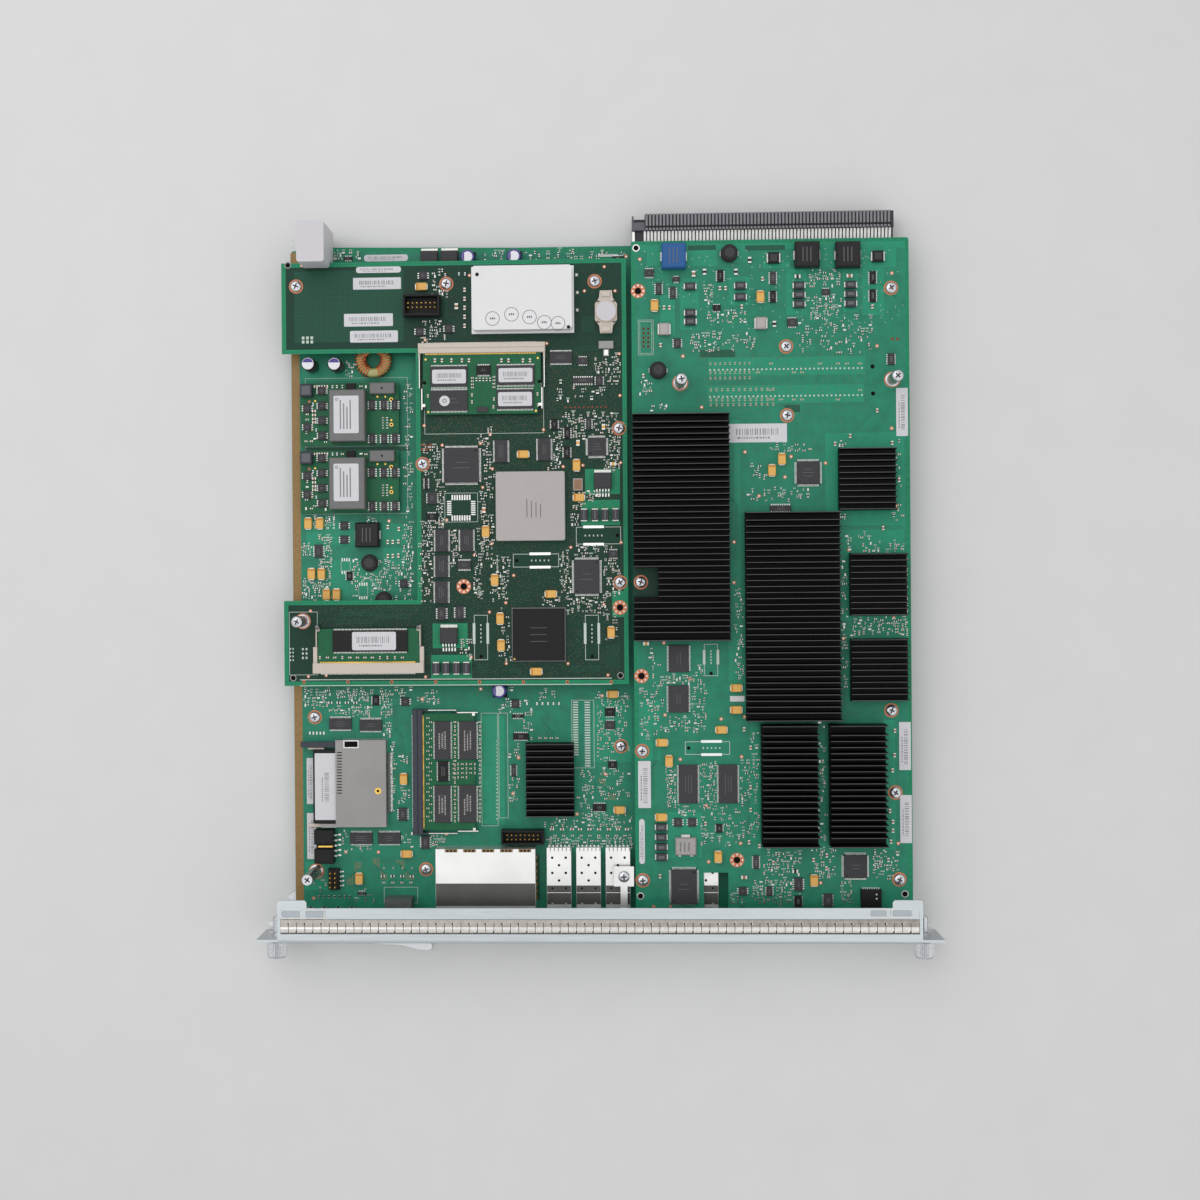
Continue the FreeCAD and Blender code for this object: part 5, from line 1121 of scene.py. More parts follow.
ROOM = {UPPER: [], BASE_TOP: []}  # areas taken on each level
TAKEN_FROM, TAKEN_TO = 0.3, 3.5  # a solid that reaches between these heights over a board takes up room on it
SHEETS = ("front_panel", "carrier_plate", "base_board", "routing_board", "forwarding_board", "board_spacers")
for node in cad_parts:
    for box in islands(node) if node not in SHEETS else ():
        for level in ROOM:
            if box[4] < level + TAKEN_TO and box[5] > level + TAKEN_FROM:
                ROOM[level].append(box[:4])
SIZES = {"tiny": (1.0, 0.55, 0.35), "small": (1.6, 0.85, 0.5), "big": (2.2, 1.3, 0.9), "bulk": (3.2, 1.9, 1.3)}
MIXED = ("ceramic", "resistor", "resistor", "ceramic", "solder")
TRIES = 7  # for each small part that is scattered
EDGE, POUR, TRACE, VIA, PAD, LEGEND = 0.01, 0.02, 0.045, 0.06, 0.075, 0.09  # heights over a board


class Board(Build):
    def __init__(self, level):
        super().__init__()
        self.level, self.room, self.poured = level, ROOM[level], []

    def at(self, px, py):
        return at(px, py, self.level)

    def area(self, spot):
        return area_at(*spot, self.level)

    def clear(self, x0, x1, y0, y1, gap=0.2):
        return not any(x0 < b + gap and x1 > a - gap and y0 < d + gap and y1 > c - gap
                       for a, b, c, d in self.room)

    def put(self, x, y, size, along_x, skin):
        length, width, _ = SIZES[size]
        dx, dy = (length / 2, width / 2) if along_x else (width / 2, length / 2)
        area = x - dx, x + dx, y - dy, y + dy
        free = self.clear(*area)
        if free:
            passive(self, x, y, self.level, SIZES[size], along_x, skin)
            self.room.append(area)
        return free

    def put_at(self, px, py, size, along_x, skin):
        self.put(*self.at(px, py), size, along_x, skin)

    def row(self, px0, py0, px1, py1, count, size, along_x, skin):
        for i in range(count):
            t = i / (count - 1)
            self.put_at(px0 + t * (px1 - px0), py0 + t * (py1 - py0), size, along_x, skin)

    def dashes(self, x, y, count):
        """A few short strokes of legend ink, with no meaning."""
        for i in range(count):
            self.patch(x + (i - (count - 1) / 2) * 0.62, y, self.level + LEGEND, 0.4, 0.72, "silk")

    def scatter(self, spot, count):
        x0, x1, y0, y1 = self.area(spot)
        placed, grid = 0, 0.85
        for _ in range(TRIES * count):
            x = x0 + grid * round(rng.random() * (x1 - x0) / grid)
            y = y0 + grid * round(rng.random() * (y1 - y0) / grid)
            along_x = rng.random() < 0.5
            size, skin = rng.choice(("tiny", "small")), rng.choice(MIXED)
            if self.put(x, y, size, along_x, skin):
                placed += 1
                if rng.random() < 0.5 and self.clear(x - 1.2, x + 1.2, y + 1.3, y + 2.1):
                    self.dashes(x, y + 1.6, rng.randint(2, 4))
            if placed == count:
                break

    def vias(self, spot, count, skin="via", radius=0.22):
        x0, x1, y0, y1 = self.area(spot)
        used, grid = set(), 0.65
        for _ in range(count):
            i, j = rng.randrange(int((x1 - x0) / grid)), rng.randrange(int((y1 - y0) / grid))
            x, y = x0 + grid * i, y0 + grid * j
            if (i, j) in used or not self.clear(x, x, y, y, 0.3):
                continue
            used |= {(i + m, j + n) for m in (-1, 0, 1) for n in (-1, 0, 1)}
            self.disc(x, y, self.level + VIA, radius, 6, skin)

    def dots(self, spot, count, radius, skin, sides):
        x0, x1, y, _ = self.area(spot)
        for i in range(count):
            self.disc(x0 + (x1 - x0) * i / (count - 1), y, self.level + PAD + 0.005, radius, sides, skin)

    def pads(self, spot, columns, rows, fill, skin="solder"):
        x0, x1, y0, y1 = self.area(spot)
        w, h = (x1 - x0) / columns, (y1 - y0) / rows
        for i in range(columns):
            for j in range(rows):
                x, y = x0 + (i + 0.5) * w, y0 + (j + 0.5) * h
                self.patch(x, y, self.level + PAD, fill[0] * w, fill[1] * h, skin)

    def pour(self, spot, skin="pour", lift=POUR):
        """A plain area; each lies a little above the earlier ones that it overlaps."""
        x0, x1, y0, y1 = self.area(spot)
        under = sum(x0 < b and x1 > a and y0 < d and y1 > c for a, b, c, d in self.poured)
        self.poured.append((x0, x1, y0, y1))
        self.flat(x0, x1, y0, y1, self.level + lift + 0.003 * under, skin)

    def print_frame(self, spot, width):
        """A rectangle of legend ink; returns its area."""
        area = self.area(spot)
        self.frame(*area, self.level + LEGEND, width, "silk")
        return area

    def tag(self, spot, turned=False, radius=0.4):
        label(self, *self.area(spot), self.level + LEGEND, turned, radius)

    def test_dots(self, spots, radius=1.05):
        for px, py in spots:
            x, y = self.at(px, py)
            self.disc(x, y, self.level + LEGEND + 0.01, radius, 16, "copper")
            self.disc(x, y, self.level + LEGEND + 0.02, 0.45 * radius, 10, "lead")

    def empty_hole(self, px, py, inner, outer, skin="copper"):
        x, y = self.at(px, py)
        z, r = self.level + LEGEND + 0.01, 0.45 * inner + 0.55 * outer
        self.ring(x, y, z, inner, outer, 28, skin)
        self.disc(x, y, z, inner, 28, "hole")
        for i in range(8 if outer > 3 else 0):
            a = math.pi * i / 4
            self.disc(x + r * math.cos(a), y + r * math.sin(a), self.level + LEGEND + 0.02, 0.5, 10, "lead")

    def socket_print(self, spot, upright, hole_at_start):
        """Bare footprint of a small connector: outline, two pad rows, a row of dots and a peg hole."""
        x0, x1, y0, y1 = self.print_frame(spot, 0.3)
        a0, a1, c0, c1 = (y0, y1, x0, x1) if upright else (x0, x1, y0, y1)
        long, across = a1 - a0, (c0 + c1) / 2
        lead_in, span = (0.36 if hole_at_start else 0.16) * long, 0.46 * long
        height, skin = (0.5, "silk") if upright else (0.15, "cage")
        for edge in (c0, c1):
            self.lying(upright, a0 + lead_in, a0 + lead_in + span, edge - 0.75, edge + 0.75, self.level,
                       self.level + height, skin)
        for i in range(5):
            along = a0 + (lead_in + span * (i + 0.5) / 5)
            self.block(*((across, along) if upright else (along, across)), self.level, 0.7, 1.0, 0.2, "silk")
        along = a0 + (0.08 if hole_at_start else 0.92) * long
        self.disc(*((across, along) if upright else (along, across)), self.level + LEGEND, 1.0, 16, "hole")
        self.room.append((x0, x1, y0, y1))

    def small_ics(self, places):
        for px, py, w, l in places:
            x, y = self.at(px, py)
            area = x - w / 2, x + w / 2, y - l / 2, y + l / 2
            if self.clear(*area, 0.0):
                skin = rng.choice(("chip", "chip_dark"))
                dual_package(self, (*area, self.level, self.level + 1.4), 1.0, skin, "x" if l > w else "y", 0.7)
                self.room.append(area)

    def stitched_edge(self, points, width, step):
        """Bright border along a board's edge, with its row of vias."""
        for k, ((ax, ay), (bx, by)) in enumerate(zip(points, points[1:])):
            length = math.hypot(bx - ax, by - ay)
            ux, uy = (bx - ax) / length * width / 2, (by - ay) / length * width / 2
            z = self.level + EDGE + 0.004 * (k % 2)
            self.line([(ax - ux, ay - uy), (bx + ux, by + uy)], z, width, "border")
            for i in range(int(length / step)):
                t = (i + 0.5) * step / length
                self.disc(ax + t * (bx - ax), ay + t * (by - ay), self.level + VIA, 0.3, 6, "hatch")

    def bundle(self, px0, py0, px1, py1, count, pitch, skin, width=0.2):
        """Parallel traces that leave straight, cross at 45 degrees and run on."""
        start, end = self.at(px0, py0), self.at(px1, py1)
        upright = abs(end[0] - start[0]) <= abs(end[1] - start[1])
        (a0, c0), (a1, c1) = (start[::-1], end[::-1]) if upright else (start, end)
        way, rise = 1 if a1 > a0 else -1, c1 - c0
        for i in range(count):
            s = (i - (count - 1) / 2) * pitch
            mid = (a0 + a1) / 2 - abs(rise) / 2 * way + s * (-1 if rise > 0 else 1)
            points = [(a0, c0 + s), (mid, c0 + s), (mid + abs(rise) * way, c1 + s), (a1, c1 + s)]
            self.line([p[::-1] for p in points] if upright else points, self.level + TRACE, width, skin)


# Forwarding board

b = Board(UPPER)
x0, x1, y0, y1 = FORWARDING[:4]
inset = 1.1
left, right, front, rear = x0 + inset, x1 - inset, y0 + inset, y1 - inset
b.stitched_edge([(left, front), (left, rear), (right, rear), (right, front)], 1.8, 4.2)
for spot in ((646.7, 660.5, 249.4, 266.2), (685, 717, 249.4, 266), (730, 748, 249, 262), (762, 790, 262, 268),
        (817.7, 834.5, 247, 267), (861, 896, 248, 267), (786, 807, 269, 314.7), (862, 884, 267, 314.7),
        (843, 858, 270, 312), (708, 865, 358, 374), (708, 864, 386, 402), (660, 675, 295, 335),
        (680, 699, 279, 330), (729, 750, 277, 305), (640, 905, 245, 247.6), (825, 905, 433, 525),
        (838, 905, 530, 620), (845, 905, 655, 700), (727, 742, 420, 690), (639, 660, 700, 760),
        (656, 702, 812, 858), (750, 760, 718, 840), (816, 826, 720, 850), (884, 896, 720, 850)):
    b.pour(spot)
for spot in ((688, 716, 245.5, 250), (745, 785, 245.5, 250), (700, 735, 350, 357), (785, 800, 405, 412)):
    b.pour(spot, "hatch", TRACE)
for py in (368, 395):
    b.dots((710, 862, py, py), 36, 0.55, "silk", 10)
for py, columns in ((363.5, 9), (372.5, 9), (378, 9), (389.5, 12), (399.5, 12), (404.5, 12)):
    b.pads((708, 752 if columns == 9 else 776, py - 1.4, py + 1.4), columns, 2, (0.36, 0.55), "pad")
for px in (758, 771, 781, 794, 802, 820, 838, 847, 860):
    for py in (363.5, 372.3, 390, 399.5):
        if rng.random() < 0.5:
            b.pads((px - 2.4, px + 2.4, py - 1, py + 1), 2, 1, (0.6, 0.8), "pad")
for *spot, count in ((700, 868, 354, 384, 420), (700, 868, 384, 412, 420), (640, 905, 330, 356, 330),
        (730, 870, 412, 500, 200), (640, 905, 640, 900, 900), (727, 746, 420, 720, 260),
        (838, 852, 520, 720, 120)):
    b.vias(spot, count)
b.vias((640, 905, 250, 330), 260, "lead", 0.2)
for *spot, columns, rows in ((888, 896, 386, 424, 5, 20), (728, 740, 548, 566, 6, 9),
        (707, 719, 700, 718, 6, 9), (831, 856, 424, 427, 14, 2), (864, 884, 422, 427, 12, 3),
        (745, 750, 469, 486, 3, 9)):
    b.pads(spot, columns, rows, (0.55, 0.55), "pour")
# painted shade on the board inside the cut of the left sink
b.flat(LEFT_SINK[0], *SINK_CUT, UPPER + POUR, "dark_green")
for px, py, along_x in ((730.5, 583, False), (646, 643.5, True)):
    b.put_at(px, py, "bulk", along_x, "tantalum")
b.small_ics(((649.1, 273.2, 5.7, 5.7), (658.6, 289, 4.8, 6.9), (672.8, 292.9, 4.8, 7.1), (720.2, 276.1, 5, 7.1),
    (772.8, 278.1, 4.8, 7.6), (772.8, 296.9, 4.8, 7.1), (872.5, 277.7, 5, 7.6), (872.5, 295.9, 5, 7.6),
    (716.5, 308.1, 4.8, 4.8), (825.6, 292.3, 5, 5), (677.3, 343.3, 5.5, 5.7), (792, 322.6, 6, 6),
    (676, 279.5, 4.6, 4.1), (890.9, 359.2, 5.2, 6.9), (678.3, 821.6, 4.8, 6.3), (691.8, 821.6, 4.8, 6.3),
    (719.2, 828.1, 5, 5.3), (756, 862.1, 4.6, 8), (769.3, 891, 4.8, 5.7), (742.6, 889.8, 6.9, 6.3),
    (797.9, 882.9, 6.7, 7.5), (798, 901, 5.6, 7)))
for px, py in ((693.5, 274.1), (704.4, 272.2), (749.5, 260.3), (735.7, 272.2), (797.3, 276.7), (849.3, 276.1),
        (774.2, 324.2), (795, 871), (744, 877)):
    b.put_at(px, py, "bulk", px > 780 or px < 745 and py > 800, rng.choice(("ceramic", "resistor")))
for px, py in ((750.5, 747.4), (750.5, 787), (750.5, 809.7), (744, 729.1), (894.8, 730.6), (894.4, 755),
        (892.4, 770.2), (889.9, 810.7), (892.8, 821.6), (892.8, 830.5), (890.9, 841.4), (748.9, 842),
        (759.4, 845.9), (800.9, 846.7), (814.7, 846.7), (813.4, 859.7), (826.6, 855.2), (888.3, 859.7),
        (773.2, 862.5), (705.4, 823.6), (826.2, 868.1), (719.8, 288.4), (725.4, 288.4), (762.3, 279.1),
        (663.9, 307.8), (669.4, 307.8), (741.6, 306.8), (872.1, 306.8), (660.5, 345.3), (643.3, 376),
        (877, 410.6), (850, 436), (835, 444), (892, 443), (899, 480), (883, 528), (660, 876)):
    b.put_at(px, py, "big", False, "ceramic")
for *spot, count in ((704, 718, 284, 303, 14), (706, 745, 310, 322, 26), (808, 842, 270, 286, 26),
        (808, 842, 297, 318, 34), (798, 872, 318, 352, 72), (690, 756, 334, 350, 46), (640, 652, 380, 394, 12),
        (650, 668, 404, 412, 6), (768, 812, 444, 452, 14), (748, 812, 488, 500, 26), (752, 766, 465, 478, 9),
        (838, 846, 440, 520, 16), (893, 903, 440, 520, 12), (845, 905, 535, 552, 26), (842, 850, 555, 700, 30),
        (902, 908, 555, 700, 30), (850, 900, 615, 635, 44), (735, 745, 585, 690, 34), (650, 662, 648, 690, 14),
        (662, 692, 676, 684, 20), (640, 664, 684, 740, 38), (692, 706, 668, 720, 34), (664, 706, 716, 732, 30),
        (666, 678, 768, 806, 34), (699, 717, 764, 806, 40), (739, 750, 762, 806, 22), (676, 745, 804, 815, 22),
        (700, 752, 818, 845, 40), (752, 762, 722, 840, 26), (818, 826, 722, 846, 26), (764, 800, 852, 876, 40),
        (752, 800, 880, 904, 54), (812, 836, 848, 880, 26), (842, 852, 878, 905, 20), (872, 900, 850, 880, 34),
        (730, 745, 896, 905, 10)):
    b.scatter(spot, count)
x0, x1, y0, y1 = b.print_frame((638, 653.6, 320, 355), 0.2)
b.frame(x0 + 0.9, x1 - 0.9, y0 + 0.9, y1 - 0.9, UPPER + LEGEND, 0.2, "silk")
for i in range(2):
    for j in range(5):
        x, y = b.at(643.6 + 4.6 * i, 328.7 + 4.45 * j)
        b.block(x, y, UPPER, 1.25, 1.25, LEGEND, "bronze")
        b.disc(x, y, UPPER + LEGEND + 0.01, 0.4, 10, "hole")
for px, py in ((892.5, 339), (897.5, 339)):
    b.block(*b.at(px, py), UPPER, 1.4, 1.4, LEGEND, "bronze")
b.tag((728, 787, 424, 442))
for spot in ((896, 908, 388, 436), (638, 651, 761, 808), (899, 911, 722, 770), (900, 912, 795, 843)):
    b.tag(spot, True)
b.tag((639, 645, 819, 864), True, 1.6)
b.pour((730, 744.5, 696, 701.5), "label", LEGEND)
b.socket_print((685, 730, 741.5, 754.5), False, True)
b.socket_print((704, 718, 644, 676), True, True)
for px, py in ((638, 291), (737, 860), (641.5, 676)):
    b.empty_hole(px, py, 1.9, 4.1)
for px, py in ((636, 248), (640.5, 896), (905, 894)):
    b.empty_hole(px, py, 1.5, 2.1, "lead")
for px, py in ((872.5, 366.5), (873, 393.5)):
    b.disc(*b.at(px, py), UPPER + LEGEND, 1.2, 16, "hole")
b.test_dots(((639.8, 259.3), (682.9, 356.2), (891.8, 273.2), (877, 345.9), (701.7, 407.2), (734.1, 542),
    (734.1, 582.5), (848.9, 549.9), (843.4, 638.5), (893.8, 617.7), (690.2, 678.8), (665.1, 715),
    (663.9, 642.8), (721.2, 718.9), (744.6, 716.9), (680.3, 759.3), (741.6, 756.7), (706.4, 805.4),
    (740.6, 843.3), (708.6, 861.7), (820.7, 882.9), (898.4, 843.3), (653.6, 906.6), (670.4, 906.6), (745, 452),
    (785, 477), (791, 456.5), (825.5, 463), (759, 496), (891.7, 428.3), (895.8, 506)))
for *ends, count, pitch, skin in ((730, 440, 735, 560, 6, 0.8, "hatch"), (880, 250, 896, 330, 5, 0.9, "pour"),
        (690, 312, 760, 320, 4, 0.7, "pour"), (655, 730, 652, 800, 4, 0.8, "hatch"),
        (700, 845, 735, 838, 4, 0.8, "pour")):
    b.bundle(*ends, count, pitch, skin)
b.done("forwarding_detail", "forwarding_green")


# Routing board

b = Board(UPPER)
x0, x1, y0, y1 = ROUTING[:4]
inner_x = b.at(416.6, 480)[0]
bay_rear, bay_front = b.at(416, 352.6)[1], b.at(416, 600)[1]
inset = 1.25
left, right, front, rear = x0 + inset, x1 - inset, y0 + inset, y1 - inset
bay_right, bay_front, bay_rear = inner_x + inset, bay_front - inset, bay_rear + inset
b.stitched_edge([(left, front), (left, bay_front), (bay_right, bay_front), (bay_right, bay_rear),
    (left, bay_rear), (left, rear), (right, rear), (right, front), (left, front)], 2.5, 1.9)
x0, x1, y0, y1 = b.area((300, 612, 679.5, 684.5))
b.flat(x0, x1, y0, y0 + 0.45, UPPER + TRACE, "silk")
b.flat(x0, x1, y1 - 0.45, y1, UPPER + TRACE, "silk")
for i in range(8):
    x, y = b.at(304 + 43.9 * i, 682)
    b.disc(x, y, UPPER + LEGEND, 1.0, 14, "copper")
    b.disc(x, y, UPPER + LEGEND + 0.02, 0.5, 10, "hole")
x0, x1, y0, y1 = b.area((294, 404, 271, 341))
for i in range(int(x1 - x0)):
    b.flat(x0 + i, x0 + i + 0.32, y0, y1, UPPER + POUR, "hatch")
for i in range(int(y1 - y0)):
    b.flat(x0, x1, y0 + i, y0 + i + 0.32, UPPER + POUR + 0.004, "hatch")
for spot, radius in (((356, 401, 267, 272.5), 1.5), ((353, 401, 278, 289), 0.4), ((344, 393, 314, 326), 0.4),
        ((350, 398, 331, 342), 0.8)):
    b.tag(spot, radius=radius)
b.pads((301, 314, 336, 344), 3, 2, (0.6, 0.7), "silk")
for spot in ((585, 620, 469, 494), (581, 620, 500, 525), (432.6, 467.7, 623.5, 648), (431, 472, 655, 679),
        (612, 626, 591, 617)):
    b.pour(spot, "border")
for *spot, columns, rows in ((477, 488, 664, 673, 7, 6), (510, 520, 668, 673, 7, 3),
        (571, 600, 665, 672, 18, 4), (606, 620, 645, 668, 8, 13), (581, 594, 316, 332, 8, 10),
        (444, 448, 296, 318, 3, 14)):
    b.pads(spot, columns, rows, (0.5, 0.5), "hatch")
for *spot, upright, hole_at_start in ((576, 621, 527, 544, False, False), (513, 559, 554, 567, False, True),
        (474, 488, 615, 660, True, True), (585, 599, 615, 660, True, True)):
    b.socket_print(spot, upright, hole_at_start)
area = b.print_frame((444.5, 478, 493, 522), 0.25)
for *spot, columns, rows in ((451, 471, 495, 500, 8, 1), (451, 471, 515.5, 520.5, 8, 1),
        (447, 451.5, 500.5, 515.5, 1, 7), (471, 475.5, 500.5, 515.5, 1, 7)):
    b.pads(spot, columns, rows, (0.6, 1) if rows == 1 else (1, 0.6), "pin")
b.room.append(area)
b.dots((566, 605.6, 407, 407), 10, 0.6, "bronze", 12)
for spot in ((424, 544, 352, 433), (289, 318, 612, 675)):
    b.print_frame(spot, 0.25)
b.pads((289, 294.5, 647, 662), 2, 4, (0.45, 0.45), "silk")
b.pads((301, 308.5, 647, 660), 2, 3, (0.5, 0.5), "silk")
for i in range(3):
    for j in range(2):
        b.block(*b.at(422 + 4.2 * i, 445 + 4.6 * j), UPPER, 1.4, 1.4, LEGEND, "bronze")
b.small_ics(((582.9, 361, 6.2, 5.4), (599.3, 380.7, 5.4, 6.2), (554.5, 424.5, 5.2, 6.4),
    (567.3, 433.3, 4.9, 6.8), (566.9, 452.5, 5.1, 7), (588.7, 423.9, 4.5, 7.2), (426.3, 483.5, 3.2, 7.2),
    (432.3, 498.2, 6.9, 7.3), (431.9, 516.8, 6.5, 5.3), (613.3, 554, 6.1, 5.7), (445, 607, 6.6, 8.8)))
x, y = b.at(577.9, 484.5)
b.block(x, y, UPPER, 5.6, 7.0, 1.2, "lid", 0.3)
b.block(x, y, UPPER + 1.2, 4.4, 5.8, 0.08, "ceramic")
b.room.append((x - 2.8, x + 2.8, y - 3.5, y + 3.5))
x, y = b.at(606, 348.5)
b.block(x, y + 2.0, UPPER, 8.6, 4.6, 1.6, "plate", 0.3)
b.block(x, y - 2.4, UPPER, 3.2, 4.0, 1.2, "lead", 0.5)
b.room.append((x - 4.4, x + 4.4, y - 4.4, y + 4.4))
for px, py, tall, skin in ((560.7, 381.7, True, "module"), (603.5, 427, True, "tantalum"),
        (578, 443, True, "tantalum"), (613, 464, False, "tantalum"), (456.5, 306.5, True, "ceramic"),
        (484, 510, True, "copper")):
    b.put_at(px, py, "bulk" if skin != "module" else "big", not tall, skin)
for line in ((464.7, 290, 464.7, 326, 5, "big", False, "ceramic"),
        (459, 274, 465, 274, 2, "small", False, "ceramic_blue"),
        (600, 364, 620, 364, 4, "small", False, "resistor"), (597, 372, 620, 372, 5, "tiny", False, "ceramic")):
    b.row(*line)
for *spot, count in ((594, 620, 356, 384, 30), (556, 604, 388, 402, 16), (432, 448, 270, 300, 18),
        (421, 445, 320, 345, 22), (560, 618, 414, 440, 54), (604, 620, 436, 470, 34), (548, 562, 426, 476, 26),
        (478, 492, 430, 480, 34), (424, 444, 445, 478, 22), (436, 446, 478, 524, 26), (421, 446, 520, 536, 24),
        (478, 494, 484, 546, 34), (572, 600, 490, 500, 14), (572, 584, 498, 526, 14), (420, 434, 534, 604, 44),
        (452, 462, 530, 566, 22), (474, 494, 540, 560, 16), (474, 482, 556, 600, 24), (490, 510, 558, 600, 40),
        (560, 572, 552, 602, 34), (604, 620, 546, 596, 34), (568, 610, 596, 614, 40), (540, 560, 595, 606, 10),
        (500, 512, 608, 660, 14), (606, 618, 615, 645, 8), (460, 474, 640, 660, 14), (576, 600, 545, 556, 16),
        (322, 330, 628, 655, 8), (494, 560, 474, 478, 8), (495, 500, 480, 540, 8)):
    b.scatter(spot, count)
for *spot, count in ((420, 620, 414, 680, 4200), (546, 620, 352, 414, 900), (424, 546, 410, 434, 130),
        (320, 420, 606, 626, 170)):
    b.vias(spot, count)
b.vias((440, 620, 266, 350), 160, radius=0.2)
for *ends, count in ((340, 613, 420, 607, 4), (335, 622, 412, 616, 3), (560, 352, 600, 348, 3),
        (500, 575, 505, 600, 5), (590, 560, 612, 566, 3)):
    b.bundle(*ends, count, 1.0, "hatch")
for px, py in ((463.8, 586.5), (620, 607.5)):
    b.empty_hole(px, py, 1.9, 4.2)
for px, py in ((620.5, 675.5), (293.3, 678), (287.8, 265.3)):
    b.empty_hole(px, py, 1.4, 1.9, "plate")
b.test_dots(((442.2, 445.2), (480.3, 443.5), (490.2, 434.4), (543.5, 429.7), (492.3, 468.8), (563.1, 466.6),
    (582.8, 465.2), (482.7, 487.4), (446.9, 520), (491.6, 543.8), (570.8, 547.3), (474.4, 555), (620.6, 462.7),
    (621.1, 542.4), (424.2, 425.5), (513.7, 575.4), (505.9, 602.7), (489.5, 612), (471.2, 657.2),
    (506.3, 663.5), (568, 663.5), (603.8, 604.5), (608, 675), (425.6, 676.8), (604.2, 266.7), (584.4, 290.9),
    (615, 290.9), (469.4, 275.4), (546.7, 343.4), (619.2, 353.7), (619.9, 395.5), (425.1, 340), (301.6, 265.7),
    (310.5, 611), (308.5, 676.5), (326.2, 675.5)), 0.95)
b.done("routing_detail", "routing_green")


# Base board

b = Board(BASE_TOP)
x0, x1, y0, y1 = BASE[:4]
strip = b.at(301.5, 600)[0]
b.flat(x0 + 0.05, strip, y0 + 1.0, y1 - 1.0, BASE_TOP + POUR, "laminate")
for i in range(196):
    b.disc(x0 + 1.4 + 2.4 * (i % 2), y0 + 2.5 + 2.06 * i, BASE_TOP + VIA, 0.22, 6, "via")
b.room.append((x0, strip, y0, y1))
b.stitched_edge([b.at(303, 249.5), b.at(628, 249.5)], 2.2, 2.0)
for spot in ((306, 378, 521, 545), (382, 408, 524, 544), (307, 330, 530, 552), (383, 406, 548, 566),
        (330, 380, 560, 600), (304, 412, 372, 380), (302, 330, 355, 380), (395, 414, 356, 372),
        (592, 632, 700, 762), (480, 505, 716, 824), (305, 330, 862, 890), (560, 632, 846, 852)):
    b.pour(spot)
for spot in ((304, 410, 448, 451), (412, 414, 360, 600), (508, 540, 855, 900)):
    b.pour(spot, "hatch", TRACE)
b.small_ics(((348.5, 258.5, 5.2, 3.2), (618, 258, 7, 3.2), (339, 541.3, 5, 5.6), (350, 541.3, 5, 5.6),
    (349.8, 576, 5, 5.6), (376, 700.3, 5.4, 6.2), (513.5, 703, 6.2, 4.6), (518, 716, 7, 3.4),
    (521, 736.3, 9.4, 5.2), (513.7, 770.5, 4, 7.6), (610, 712, 6.2, 6.2), (610, 725, 6.2, 6.2),
    (612.5, 764.5, 5.4, 5.4), (599.5, 807.3, 8, 5.6), (362, 893, 5, 3), (503.6, 887, 4, 4)))
for spot in ((341, 350.5, 561, 571), (358.5, 368, 585.5, 596.5)):
    x0, x1, y0, y1 = b.print_frame(spot, 0.22)
    b.pads((spot[0], spot[1], spot[2] - 3, spot[2]), 4, 1, (0.5, 0.9))
    b.pads((spot[0], spot[1], spot[3], spot[3] + 3), 4, 1, (0.5, 0.9))
    b.room.append((x0, x1, y0 - 1.8, y1 + 1.8))
for px, py in ((388, 542), (393, 542), (398.5, 541.5), (388, 556), (393, 556), (398.5, 555.5), (388, 527),
        (399, 529)):
    b.put_at(px, py, "big", False, "ceramic")
for *spot, rows in ((573, 578.5, 701, 756, 22), (584.5, 590.5, 701, 767, 26)):
    b.pads(spot, 1, rows, (1, 0.55), "silk")
b.room.append(b.print_frame((571.5, 594.5, 700, 768), 0.25))
for spot in ((481, 498.5, 713, 826), (498.5, 508.5, 713, 818), (384, 418, 887, 903), (343, 388, 739, 826),
        (305, 408, 378.5, 446), (305, 408, 446, 513.5)):
    b.print_frame(spot, 0.22)
for i in range(22):
    b.dashes(*b.at(497, 741 + 3.7 * i), 2)
for line in ((537, 703.5, 559, 703.5, 5, "small", False, "solder"),
        (319, 896.5, 350, 896.5, 7, "small", False, "resistor"),
        (330.5, 702.5, 355.5, 702.5, 4, "big", True, "resistor"),
        (383, 876, 412, 876, 4, "big", True, "resistor"), (384, 882.5, 411, 882.5, 4, "small", True, "ceramic"),
        (384, 868, 412, 868, 4, "tiny", False, "ceramic"), (310, 733, 324, 733, 5, "small", False, "solder"),
        (311, 908, 352, 908, 4, "bulk", True, "resistor"), (552, 829, 572, 829, 3, "big", True, "ceramic"),
        (580, 829, 599, 829, 3, "big", True, "ceramic"), (609, 829, 627, 829, 3, "big", True, "ceramic"),
        (555, 835.5, 625, 835.5, 9, "small", True, "ceramic"),
        (540, 738, 557, 738, 4, "small", True, "ceramic"), (598, 740, 598, 756, 5, "tiny", True, "copper")):
    b.row(*line)
